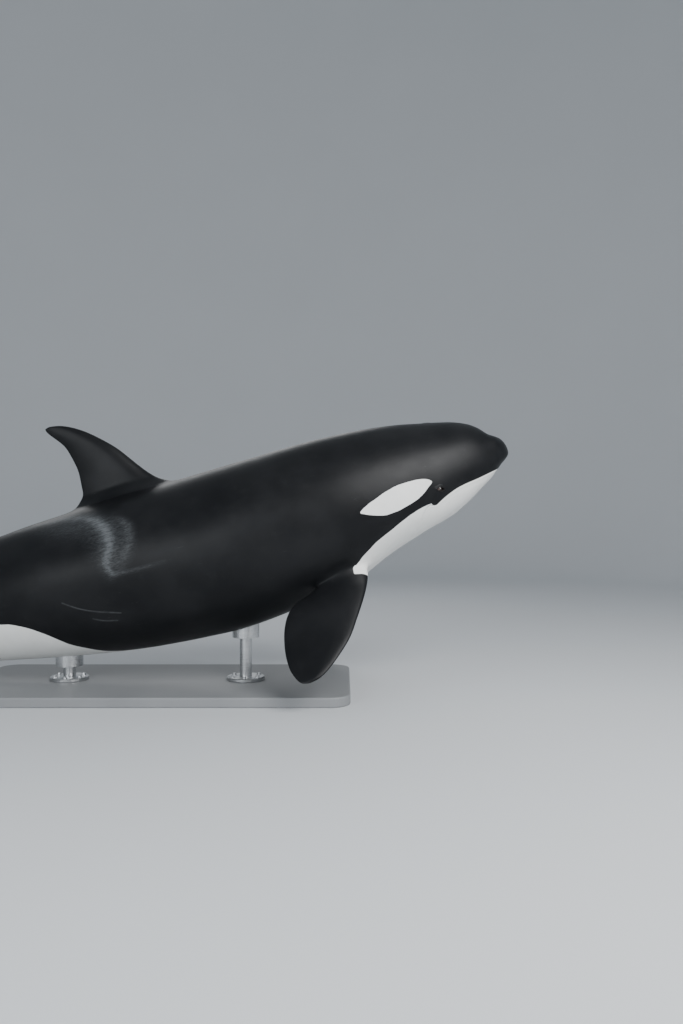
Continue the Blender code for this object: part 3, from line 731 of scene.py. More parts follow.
def wanted_spacing(spots):
    """How long the skin's edges may be at body places on it."""
    left = mirrored(spots)
    wanted = np.full(len(spots), 1.0)

    def fine(distance, *steps):
        for reach, spacing in steps:
            wanted[distance < reach] = np.minimum(wanted[distance < reach], spacing)

    fine(head_distance(left, MOUTH), *MOUTH_FINE)
    fine(np.linalg.norm(left - EYE_SPOT, axis=1), *EYE_FINE)
    fine(head_distance(spots, BLOWHOLE), *BLOWHOLE_FINE)
    for start, end, _, _ in SLITS:
        fine(line_distance(left, slit_line(start, end))[0], SLIT_FINE)
    fine(line_distance(left, DORSAL_LINE)[0], DORSAL_FINE)
    fine(line_distance(left, FLIPPER_LINE)[0], FLIPPER_FINE)
    fine(np.abs(left[:, 0] - FLUKES_BACK), FLUKES_FINE)
    for scar in SCARS:
        fine(line_distance(left[:, [0, 2]], np.array(scar))[0], SCAR_FINE)
    belly, patch, _ = markings(*spots.T)
    fine(np.minimum(np.abs(belly), np.abs(patch)), MARK_FINE)
    return wanted


def new_object(name, data):
    """A new object in the scene."""
    obj = bpy.data.objects.new(name, data)
    bpy.context.scene.collection.objects.link(obj)
    return obj


def start_work(points, faces):
    """A mesh under work, with the given points and faces."""
    mesh = bpy.data.meshes.new("start")
    mesh.from_pydata(points.tolist(), [], faces)
    work = bmesh.new()
    work.from_mesh(mesh)
    bpy.data.meshes.remove(mesh)
    return work


def end_work(work, name):
    """The finished mesh."""
    mesh = bpy.data.meshes.new(name)
    work.to_mesh(mesh)
    work.free()
    return mesh


def face_outwards(work):
    """Turn every face outwards."""
    bmesh.ops.recalc_face_normals(work, faces=work.faces)
    if work.calc_volume(signed=True) < 0.0:
        bmesh.ops.reverse_faces(work, faces=work.faces)


def read_values(items, name, width=1, kind=np.float32):
    """One property of each of a mesh's points, edges or faces."""
    values = np.zeros(len(items) * width, kind)
    items.foreach_get(name, values)
    return values.reshape(-1, width) if width > 1 else values


def read_points(mesh):
    """A mesh's points as an array."""
    return read_values(mesh.vertices, "co", 3).astype(float)


def read_spots(mesh):
    """Body places of a mesh's points."""
    return np.stack(locate(read_points(mesh)), axis=-1)


def write_points(mesh, points):
    """Move a mesh's points."""
    mesh.vertices.foreach_set("co", points.astype(np.float32).ravel())
    mesh.update()


def store(mesh, name, values):
    """Keep one value, or one vector, for each point of a mesh."""
    vector = values.ndim == 2
    kept = mesh.attributes.new(name, "FLOAT_VECTOR" if vector else "FLOAT", "POINT")
    kept.data.foreach_set("vector" if vector else "value", values.astype(np.float32).ravel())


def chart_rows():
    """Distances back of the skin's rings, close together in the head and at both round ends."""
    nose = SNOUT_ROUND * (1 - np.cos(np.linspace(0, math.pi / 2, NOSE_RINGS)))
    tail = TAIL_END - TAIL_ROUND * (1 - np.cos(np.linspace(math.pi / 2, 0, TAIL_RINGS)))
    head = np.arange(SNOUT_ROUND + HEAD_STEP, HEAD_END, HEAD_STEP)
    trunk_count = int((tail[0] - HEAD_END) / TRUNK_STEP)
    trunk = np.linspace(HEAD_END, tail[0], trunk_count, endpoint=False)
    return np.concatenate([nose, head, trunk, tail])


def body_chart():
    """The body's skin as a flat grid of distance back and turn, split finer where it matters."""
    rows = chart_rows()
    columns = np.linspace(0.0, 2 * math.pi, TURN_COUNT + 1)
    back, turn = np.meshgrid(rows, columns, indexing="ij")
    points = np.stack([back.ravel(), turn.ravel(), 0.0 * back.ravel()], axis=-1)
    width = TURN_COUNT + 1
    corner = (np.arange(len(rows) - 1)[:, None] * width + np.arange(TURN_COUNT)).ravel()
    faces = np.stack([corner, corner + width, corner + width + 1, corner + 1], axis=-1)
    work = start_work(points, faces.tolist())
    for _ in range(REFINE_PASSES):
        work.verts.index_update()
        chart = np.array([vert.co for vert in work.verts])
        ends = np.array([[vert.index for vert in edge.verts] for edge in work.edges])
        spots = skin_spot(chart[:, 0], chart[:, 1])
        lengths = np.linalg.norm(spots[ends[:, 0]] - spots[ends[:, 1]], axis=1)
        middle = chart[ends].mean(axis=1)
        limits = LONG_SHARE * wanted_spacing(skin_spot(middle[:, 0], middle[:, 1]))
        long = [edge for edge, cut in zip(work.edges, lengths > limits) if cut]
        bmesh.ops.subdivide_edges(work, edges=long, cuts=1, use_grid_fill=True)
    return work


def ridge(distance, height, width, offset=0.0):
    """A smooth ridge at an offset from a line, or a groove where the height is negative."""
    return height * np.exp(-(((distance - offset) / width) ** 2))


def mouth_relief(spots):
    """Lips on both sides of the closed mouth's groove, and how deep in the crease each place is, which sets
    the painted shade there.
    """
    left = mirrored(spots)
    near = left[:, 0] < HEAD_END
    relief, crease = np.zeros(len(spots)), np.zeros(len(spots))
    distance, along = line_distance(left[near], MOUTH)
    upper = left[near, 2] > MOUTH_LEVEL(left[near, 0])
    upper |= left[near, 0] < JAW_TIP
    # The lips sink towards the mouth's front and towards its corners
    fade = 1.0 - 0.55 * held((along - 0.85) / 0.15)
    fade *= 0.45 + 0.55 * held(along / 0.45)
    lower_lip = ridge(distance, *LOWER_LIP) + ridge(distance, *CHIN_DIP)
    lip = np.where(upper, ridge(distance, *UPPER_LIP), lower_lip) * held(distance / 0.004)
    relief[near] = fade * (ridge(distance, *MOUTH_GROOVE) + lip)
    # Painted shade along the mouth's groove, wider on the upper side
    crease[near] = np.sqrt(fade) * ridge(distance, 1.0, np.where(upper, *MOUTH_SHADE_WIDTHS))
    fold = np.array([MOUTH_CORNER, *CORNER_LINE])
    fold[1:, 1] = skin_width(fold[1:, 0], fold[1:, 2])
    distance, along = line_distance(left[near], round_line(fold, False))
    relief[near] += (1.0 - along) * (ridge(distance, *CORNER_FOLD) + ridge(distance, *CORNER_SWELL))
    # Painted shade in the fold behind the mouth's corner
    crease[near] = np.maximum(crease[near], (1.0 - along) * ridge(distance, *CORNER_SHADE))
    return relief, crease


def eye_relief(spots):
    """The swelling round each eye, the pit behind the lids, their rims and folds, and painted shade in folds
    and pit.
    """
    left = mirrored(spots)
    outside, along, across = lid_distance(left)
    radius = np.linalg.norm(left - EYE_SPOT, axis=1)
    apart = np.maximum(outside, 0.0)
    pit = -EYE_PIT * smooth(held(-outside / EYE_WALL))
    swell = ridge(radius, *EYE_SWELL) + ridge(apart, *LID_SWELL)
    rim = np.where(outside > -EYE_WALL, ridge(outside, *LID_RIM), 0.0)
    # The folds follow each lid and run out a little past the eye's corners
    above = held(across / 0.010) * held(1.4 - np.abs(along) / 0.030)
    below = held(-across / 0.010) * held(1.3 - np.abs(along) / 0.028)
    folds = above * sum(ridge(outside, *fold) for fold in UPPER_LID_FOLDS)
    folds += below * sum(ridge(outside, *fold) for fold in LOWER_LID_FOLDS)
    # Painted shade at the bottom of the lid folds
    crease = above * ridge(outside, *UPPER_LID_SHADE) + below * ridge(outside, *LOWER_LID_SHADE)
    # The last part is painted shade inside the lids' opening, fading over their rims
    parts = (swell + rim + folds + pit, crease, ridge(apart, *LID_SHADE))
    return [np.where(radius < EYE_AROUND, part, 0.0) for part in parts]


def blowhole_relief(spots):
    """The closed blowhole's crescent slit and its raised lips, with painted shade in the slit."""
    near = (spots[:, 0] < HEAD_END) & (spots[:, 2] > 0.2)
    relief, crease = np.zeros(len(spots)), np.zeros(len(spots))
    distance, along = line_distance(spots[near], BLOWHOLE)
    horns = 1.0 - 0.75 * np.abs(2 * along - 1.0) ** 3
    centre = np.array([BLOWHOLE_BACK + 0.01, BLOWHOLE_LEFT, TOP(BLOWHOLE_BACK)])
    mound = ridge(np.linalg.norm(spots[near] - centre, axis=1), *BLOWHOLE_MOUND)
    lips = ridge(distance, *BLOWHOLE_LIPS) * held(distance / 0.003)
    relief[near] = mound + horns * (ridge(distance, *BLOWHOLE_SLIT) + lips)
    # Painted shade in the blowhole's slit
    crease[near] = horns * ridge(distance, *BLOWHOLE_SHADE)
    return relief, crease


def slit_relief(spots):
    """Navel, genital slit, mammary slits and vent under the belly, with painted shade inside them."""
    left = mirrored(spots)
    relief, crease = np.zeros(len(spots)), np.zeros(len(spots))
    under = (left[:, 2] < -0.1) & (left[:, 0] > 2.4) & (left[:, 0] < 4.2)
    for start, end, width, depth in SLITS:
        distance = line_distance(left[under], slit_line(start, end))[0]
        distance = np.hypot(distance, 0.3 * np.abs(left[under, 2] - BOTTOM(left[under, 0])) ** 2)
        rim = ridge(distance, 0.25 * depth, 2 * width, 2.6 * width)
        relief[under] += ridge(distance, -depth, width) + rim
        # Painted shade inside each slit
        crease[under] = np.maximum(crease[under], ridge(distance, 0.9, width))
    return relief, crease


def fold_relief(spots):
    """Shallow creases behind the jaw and round the flippers' roots, and a slow unevenness."""
    left = mirrored(spots)
    around = girth(left[:, 0], skin_turn(*left.T))
    relief = np.zeros(len(spots))
    for back, low, high, depth in THROAT_FOLDS:
        ends = held((around - low) / 0.08) * held((high - around) / 0.08)
        behind = left[:, 0] - (back + 0.10 * (around - 0.2))
        relief += ends * (ridge(behind, -depth, 0.006) + ridge(behind, depth / 2, 0.010, 0.014))
    rng = np.random.default_rng(WAVE_SEED)
    for _ in range(WAVE_COUNT):
        length = rng.uniform(*WAVE_LENGTHS)
        direction = rng.normal(size=3)
        direction /= np.linalg.norm(direction)
        wave = np.sin(2 * math.pi / length * (spots @ direction) + rng.uniform(0, 2 * math.pi))
        relief += WAVE_HEIGHT * length * wave
    return relief


def melon_relief(spots):
    """Softens the step from the snout to the forehead on the sides, away from the middle line."""
    head = spots[:, 0] < 2 * MELON_REACH + SNOUT_ROUND
    back, side, height = spots[head].T
    offsets = np.linspace(-1.0, 1.0, 11) * MELON_REACH
    soft = sum(TOP(back + offset) for offset in offsets) / len(offsets)
    level, above, *_ = section(back)
    over = smooth(held((height - level) / np.maximum(above, TINY)))
    aside = smooth(held(skin_turn(back, side, height) / MELON_TURN))
    fade = held((2 * MELON_REACH + SNOUT_ROUND - back) / MELON_REACH)
    relief = np.zeros(len(spots))
    relief[head] = (soft - TOP(back)) * aside * over * end_round(back) * fade
    return relief


def make_body():
    """The body's skin, mapped from its flat grid onto the sections and sculpted."""
    work = body_chart()
    chart = np.array([vert.co for vert in work.verts])
    chart[chart[:, 0] > TAIL_END - TINY, 0] = TAIL_END
    for vert, point in zip(work.verts, place(*skin_spot(chart[:, 0], chart[:, 1]).T)):
        vert.co = point
    bmesh.ops.remove_doubles(work, verts=work.verts, dist=DOUBLE)
    face_outwards(work)
    mesh = end_work(work, "skin")
    spots = read_spots(mesh)
    store(mesh, "plain", spots)
    relief = sum(form(spots)[0] for form in (mouth_relief, eye_relief, blowhole_relief, slit_relief))
    relief += fold_relief(spots) + melon_relief(spots)
    normals = read_values(mesh.vertex_normals, "vector", 3)
    write_points(mesh, read_points(mesh) + normals * relief[:, None])
    return new_object("skin", mesh)


def fin_ring(front, rear, thick):
    """One streamlined section as distances along and aside: round edges, thickest at a third."""
    share = 0.5 - 0.5 * np.cos(math.pi * np.arange(FIN_DIVISIONS + 1) / FIN_DIVISIONS)
    chord = rear - front
    edge = FIN_EDGE * np.minimum(1.0, share / FIN_EDGE_START)
    near_rear = held((1.0 - share) * chord / FIN_EDGE)
    edge *= np.sqrt(1.0 - (1.0 - near_rear) ** 2)
    aside = thick * FIN_BULGE * np.sqrt(share) * (1.0 - share) ** FIN_TAPER + edge
    along = front + chord * share
    ring_along = np.concatenate([along, along[-2:0:-1]])
    ring_aside = np.concatenate([aside, -aside[-2:0:-1]])
    return ring_along, ring_aside


def eased(curve, last):
    """The same curve with its bends spread out, up to the fin's tip."""

    def value(out):
        reach = EDGE_EASING * held((last - out) / (2 * EDGE_EASING))
        return sum(curve(out + reach * share) for share in np.linspace(-1.0, 1.0, 9)) / 9

    return value


def fin_outs(first, last):
    """Distances of a fin's sections from root to tip, closer together towards the tip."""
    count = int(abs(last - first) / FIN_STEP)
    share = 1.0 - (1.0 - np.arange(count + 1) / count) ** FIN_CROWDING
    return first + (last - first) * share


def tip_share(out, last):
    """Share of its section that a fin keeps close to its round tip."""
    left = min(1.0, max(0.0, (last - out) / TIP_ROUND))
    return max(0.03, math.sqrt(1.0 - (1.0 - left) ** 2))


def fin_sections(rows, outs):
    """Distances along and aside of a fin's sections, for each distance out."""
    last = rows[-1][0]
    front, rear, thick = (eased(curve, last) for curve in smooth_curves(rows)[:3])
    rings = []
    for out in outs:
        lead, trail, tip = front(out), rear(out), tip_share(out, last)
        if rows is FLUKE:
            trail -= NOTCH_DEPTH * max(0.0, 1.0 - out / NOTCH_WIDTH) ** 2
        middle = (lead + trail) / 2
        ends = middle - (middle - lead) * tip, middle + (trail - middle) * tip
        rings.append(fin_ring(*ends, thick(out) * tip))
    return np.array(rings).transpose(1, 0, 2)


def ring_faces(total, count):
    """Faces between rings of points, and round a point in the middle of each end."""
    pairs = [(j, (j + 1) % count) for j in range(count)]
    starts = range(0, total - count, count)
    faces = [(i + j, i + k, i + count + k, i + count + j) for i in starts for j, k in pairs]
    for centre, start in ((total, 0), (total + 1, total - count)):
        faces += [(centre, start + j, start + k) for j, k in pairs]
    return faces


def make_fin(name, rows, spot_at, fillet):
    """A closed fin through streamlined sections, flared where it leaves the skin.

    The flare fades out towards the thin end of the tail. The flukes go from tip to tip.
    """
    outs = fin_outs(rows[0][0], rows[-1][0])
    if rows is FLUKE:
        outs = np.concatenate([-outs[:0:-1], outs])
    along, aside = fin_sections(rows, np.abs(outs) if rows is FLUKE else outs)
    run = np.roll(along, -1, axis=1) - np.roll(along, 1, axis=1)
    rise = np.roll(aside, -1, axis=1) - np.roll(aside, 1, axis=1)
    size = np.maximum(np.hypot(run, rise), 1e-9)
    outs = np.broadcast_to(outs[:, None], along.shape)
    spots = spot_at(outs, along, aside)
    height = height_over_skin(*np.moveaxis(spots, -1, 0))
    fillet = fillet * np.clip((FILLET_END - spots[..., 0]) / FILLET_FADE, FILLET_LEAST, 1.0)
    near = held(1.0 - np.abs(height) / fillet)
    flare = fillet * (1.0 - np.sqrt(np.maximum(0.0, 1.0 - near * near)))
    lead, trail = along.min(axis=1, keepdims=True), along.max(axis=1, keepdims=True)
    widen = flare * (1.0 - np.exp(-np.minimum(along - lead, trail - along) / fillet))
    spots = spot_at(outs, along - rise / size * flare * EDGE_FLARE, aside + run / size * widen)
    points = place(*np.moveaxis(spots, -1, 0))
    flat = points.reshape(-1, 3)
    caps = np.array([points[0].mean(axis=0), points[-1].mean(axis=0)])
    work = start_work(np.concatenate([flat, caps]), ring_faces(len(flat), along.shape[1]))
    bmesh.ops.remove_doubles(work, verts=work.verts, dist=DOUBLE)
    bmesh.ops.dissolve_degenerate(work, dist=TINY, edges=work.edges)
    face_outwards(work)
    mesh = end_work(work, name)
    store(mesh, "plain", read_spots(mesh))
    return new_object(name, mesh)


def make_dorsal_fin():
    """The small, backward-curved dorsal fin."""

    def spot_at(out, along, aside):
        return np.stack([along, aside, out], axis=-1)

    return make_fin("dorsal", DORSAL_FIN, spot_at, DORSAL_FILLET)


def make_flipper(side):
    """One paddle-shaped flipper; side is 1 for left and -1 for right."""
    root_back, root_left, root_up = FLIPPER_ROOT
    out_left, out_up = math.sin(FLIPPER_DROOP), -math.cos(FLIPPER_DROOP)

    def spot_at(out, along, aside):
        left = root_left + out * out_left - aside * out_up
        up = root_up + out * out_up + aside * out_left
        return np.stack([root_back + along, side * left, up], axis=-1)

    return make_fin("flipper", FLIPPER, spot_at, FLIPPER_FILLET)


def make_flukes():
    """Both tail flukes as one blade from tip to tip, with the notch between them."""
    level = eased(FLUKE_LEVEL, FLUKE[-1][0])

    def spot_at(out, along, aside):
        return np.stack([along, out, level(np.abs(out)) + aside], axis=-1)

    return make_fin("flukes", FLUKE, spot_at, FLUKE_FILLET)


def unite(body, fins):
    """Join the fins to the body as one closed surface; each face keeps its piece's number."""
    slots = [bpy.data.materials.new(f"piece_{i}") for i in range(len(fins) + 1)]
    for i, obj in enumerate([body, *fins]):
        for slot in slots:
            obj.data.materials.append(slot)
        obj.data.polygons.foreach_set("material_index", np.full(len(obj.data.polygons), i))
    for fin in fins:
        modifier = body.modifiers.new(fin.name, "BOOLEAN")
        modifier.operation = "UNION"
        modifier.solver = "MANIFOLD"
        modifier.object = fin
    bpy.context.view_layer.update()
    graph = bpy.context.evaluated_depsgraph_get()
    mesh = bpy.data.meshes.new_from_object(body.evaluated_get(graph))
    body.modifiers.clear()
    body.data = mesh
    mesh.name = "skin"
    for fin in fins:
        bpy.data.objects.remove(fin)
    return body


def turn_edges(work, tree):
    """Split the faces close to the seams into triangles, and turn edges so that none is a sliver."""
    close = {vert for vert in work.verts if tree.find(vert.co)[2] < SEAM_TRIM}
    bmesh.ops.triangulate(work, faces=[face for face in work.faces if close.intersection(face.verts)])
    edges = [edge for edge in work.edges if close.issuperset(edge.verts)]
    faces = list({face for edge in edges for face in edge.link_faces})
    bmesh.ops.beautify_fill(work, faces=faces, edges=edges)


def fair_seams(skin):
    """Weld and turn slivers where the fins meet the body, and smooth the crease there."""
    work = bmesh.new()
    work.from_mesh(skin.data)
    seam = [v for v in work.verts if len({face.material_index for face in v.link_faces}) > 1]
    tree = KDTree(len(seam))
    for i, vert in enumerate(seam):
        tree.insert(vert.co, i)
    tree.balance()
    near = [vert for vert in work.verts if tree.find(vert.co)[2] < SEAM_REACH]
    bmesh.ops.remove_doubles(work, verts=near, dist=SEAM_WELD)
    bmesh.ops.dissolve_degenerate(work, dist=TINY, edges=work.edges)
    turn_edges(work, tree)
    work.verts.ensure_lookup_table()
    work.verts.index_update()
    distance = np.array([tree.find(vert.co)[2] for vert in work.verts])
    work.to_mesh(skin.data)
    work.free()
    mesh = skin.data
    points = read_points(mesh)
    ends = read_values(mesh.edges, "vertices", 2, np.int32)
    local = distance < SEAM_REACH
    ends = ends[local[ends[:, 0]] | local[ends[:, 1]]]
    count = np.bincount(ends.ravel(), minlength=len(points))
    weight = held(1.0 - distance / SEAM_REACH)[:, None]
    for turn in range(SEAM_ROUNDS):
        if turn % SEAM_TURN == 0:
            write_points(mesh, points)
            normals = read_values(mesh.vertex_normals, "vector", 3)
        mean = np.empty_like(points)
        for axis in range(3):
            first = np.bincount(ends[:, 0], points[ends[:, 1], axis], len(points))
            second = np.bincount(ends[:, 1], points[ends[:, 0], axis], len(points))
            mean[:, axis] = (first + second) / np.maximum(count, 1)
        move = np.where(local[:, None], mean - points, 0.0)
        inward = np.minimum((move * normals).sum(axis=1, keepdims=True), 0.0)
        points = points + SEAM_PULL * weight * (move - SEAM_KEEP * inward * normals)
    write_points(mesh, points)
    return skin


def streak(spots, rows):
    """Strength of a soft streak whose points give distance back, level, half width and strength."""
    table = np.array(rows)
    distance, along = line_distance(spots, table[:, :2])
    places = np.linspace(0.0, 1.0, len(table))
    width, strength = (np.interp(along, places, table[:, column]) for column in (2, 3))
    return ridge(distance, strength, width)


def veil(spots, outline, edge):
    """How far inside an outline each place is, from 0 outside to 1 well inside."""
    share = inside_distance(spots, round_line(outline, True), edge) / edge
    return smooth(held(0.5 + 0.5 * share))


def saddle_strength(back, level):
    """How grey the saddle is at each place."""
    strength = np.zeros(len(back))
    near = (back > 2.0) & (back < 3.3) & (level > -0.15)
    spots = np.stack([back[near], level[near]], axis=-1)
    core = np.array(SADDLE_CORE)
    behind = np.exp(-line_distance(spots, core[:, :2])[0] / SADDLE_SMOKE_REACH)
    smoke = SADDLE_SMOKE_STRENGTH * behind * veil(spots, SADDLE_SMOKE, SADDLE_SMOKE_EDGE)
    fade = held((SADDLE_FADE[1] - spots[:, 0]) / (SADDLE_FADE[1] - SADDLE_FADE[0]))
    smoke *= smooth(fade)
    thin = SADDLE_VEIL_STRENGTH * veil(spots, SADDLE_VEIL, SADDLE_VEIL_EDGE)
    streaks = [streak(spots, rows) for rows in (SADDLE_CORE, SADDLE_SECOND, SADDLE_LINE)]
    strength[near] = 1.0 - (1.0 - np.maximum.reduce(streaks)) * (1.0 - smoke) * (1.0 - thin)
    return strength


def fit_band(values, low, high):
    """Values stretched to fill a band of the flat map."""
    return low + (high - low) * (values - values.min()) / np.ptp(values)


def lay_flat(mesh, spots):
    """A flat map of the skin: both sides of the body, larger at the head, above the fins' faces."""
    corners = read_values(mesh.polygons, "loop_total", kind=np.int32)
    starts = np.concatenate([[0], np.cumsum(corners)[:-1]])
    piece = np.repeat(read_values(mesh.polygons, "material_index", kind=np.int32), corners)
    back, side, level = spots[read_values(mesh.loops, "vertex_index", kind=np.int32)].T
    out, aside = flipper_place(side, level)

    def zoom(back):
        return 1.0 + MAP_HEAD_ZOOM * held((MAP_HEAD_END - back) / MAP_HEAD_FADE)

    rows = np.linspace(0.0, LENGTH, GIRTH_ROWS)
    rise = zoom(rows)
    run = np.interp(back, rows, np.concatenate([[0.0], np.cumsum((rise[1:] + rise[:-1]) / 2)]))
    half = girth(back, 0.0 * back)
    share = girth(back, skin_turn(back, side, level)) / np.maximum(half, TINY) - 0.5
    across = share * np.minimum(half * zoom(back), GIRTHS.max()) / GIRTHS.max()
    flipper, flukes = (out, back, aside), (side, back, level - FLUKE_LEVEL(np.abs(side)))
    ways = ((run, across, side), (back, level, side), flipper, flipper, flukes)
    flat = np.zeros((len(back), 2))
    for number, (bands, (along, up, measure)) in enumerate(zip(MAP_BANDS, ways)):
        first = np.repeat(np.add.reduceat(measure, starts) > 0.0, corners)
        for face, band in zip((first, ~first), bands):
            own = (piece == number) & face
            flat[own, 0] = fit_band(along[own], *band[:2])
            flat[own, 1] = fit_band(up[own], *band[2:])
    mesh.uv_layers.new(name="OFBake").data.foreach_set("uv", flat.astype(np.float32).ravel())


def mark_skin(skin):
    """Store the places, the markings and the painted shade of creases and eye pits that the skin's material
    reads.
    """
    mesh = skin.data
    now = read_spots(mesh)
    spots = read_values(mesh.attributes["plain"].data, "vector", 3).astype(float)
    # A point that the union or the smoothing has carried off is given its place anew
    lost = np.linalg.norm(spots - now, axis=1) > PLACE_LOST
    spots[lost] = now[lost]
    back, side, level = spots.T
    belly, patch, under = markings(back, side, level)
    store(mesh, "body_place", spots)
    out = np.where(np.abs(back - FLIPPER_ROOT[0] - 0.1) < 0.5, flipper_place(side, level)[0], 0.0)
    belly = np.minimum(belly, FLIPPER_BLACK - out)
    belly *= 1.0 + ridge(head_distance(mirrored(spots), MOUTH), *LIP_CRISPNESS)
    store(mesh, "white", np.maximum.reduce([belly, patch, under]))
    store(mesh, "saddle", saddle_strength(back, level) * (level < TOP(back) + 0.005))
    scar = np.full(len(spots), MARK_REACH)
    near = (back > 2.3) & (back < 3.0) & (level < 0.0)
    for line in SCARS:
        flat = np.stack([back, level], axis=-1)[near]
        scar[near] = np.minimum(scar[near], line_distance(flat, round_line(line, False))[0])
    store(mesh, "scar", scar)
    lay_flat(mesh, spots)
    # The crease and lid values are painted shade: creases' bottoms and the eye pits are darkened
    _, crease, lid = eye_relief(spots)
    crease += sum(form(spots)[1] for form in (mouth_relief, blowhole_relief, slit_relief))
    store(mesh, "crease", held(crease))
    store(mesh, "lid", lid)
    mesh.polygons.foreach_set("material_index", np.zeros(len(mesh.polygons), np.int32))
    mesh.materials.clear()


class Shader:
    """Builds one procedural material node by node."""

    def __init__(self, name):
        self.material = bpy.data.materials.new(name)
        self.material.use_nodes = True
        self.tree = self.material.node_tree
        self.surface = self.tree.nodes["Principled BSDF"]

    def feed(self, node, inputs):
        """Link an output to each named input of a node, or set the input's own value."""
        for name, value in inputs.items():
            if isinstance(value, bpy.types.NodeSocket):
                self.tree.links.new(value, node.inputs[name])
            else:
                node.inputs[name].default_value = value

    def add(self, kind, output, inputs, **settings):
        """An output of a new node."""
        made = self.tree.nodes.new(kind)
        for key, value in settings.items():
            setattr(made, key, value)
        self.feed(made, inputs)
        return made.outputs[output]

    def attribute(self, name, output="Fac"):
        return self.add("ShaderNodeAttribute", output, {}, attribute_name=name)

    def math(self, operation, first, second, clamp=False):
        inputs = {0: first, 1: second}
        return self.add("ShaderNodeMath", 0, inputs, operation=operation, use_clamp=clamp)

    def plus(self, first, second, clamp=False):
        return self.math("ADD", first, second, clamp)

    def times(self, first, second):
        return self.math("MULTIPLY", first, second)

    def stretch(self, vector, scale):
        return self.add("ShaderNodeVectorMath", 0, {0: vector, 1: scale}, operation="MULTIPLY")

    def noise(self, vector, scale, detail=2.0, roughness=0.5, distortion=0.0):
        inputs = {"Vector": vector, "Scale": scale, "Detail": detail, "Roughness": roughness}
        return self.add("ShaderNodeTexNoise", "Fac", {**inputs, "Distortion": distortion})

    def rise(self, value, start, end, low=0.0, high=1.0, kind="SMOOTHSTEP"):
        """A smooth step from low to high as the value goes from start to end."""
        inputs = {"Value": value, "From Min": start, "From Max": end, "To Min": low, "To Max": high}
        return self.add("ShaderNodeMapRange", "Result", inputs, interpolation_type=kind)

    def spread(self, noise, reach):
        """A noise turned into an offset of at most the reach either way."""
        return self.rise(noise, 0.2, 0.8, -reach, reach, "LINEAR")

    def mix(self, share, *colours):
        """The second colour laid over the first by a share."""
        first, second = (c if isinstance(c, bpy.types.NodeSocket) else (*c, 1.0) for c in colours)
        inputs = {"Factor": share, "A": first, "B": second}
        return self.add("ShaderNodeMix", "Result", inputs, data_type="RGBA")

    def layers(self, colour, *rows):
        """A colour with others over it: each row has a noise, its start and end, a share, a colour."""
        for noise, start, end, share, over in rows:
            colour = self.mix(self.rise(noise, start, end, 0.0, share), colour, over)
        return colour

    def bump(self, height, distance, strength, normal=None):
        inputs = {"Height": height, "Distance": distance, "Strength": strength}
        if normal:
            inputs["Normal"] = normal
        return self.add("ShaderNodeBump", "Normal", inputs)

    def finish(self, **values):
        """Feed the surface's own inputs."""
        self.feed(self.surface, {name.replace("_", " ").title(): value for name, value in values.items()})
        return self.material


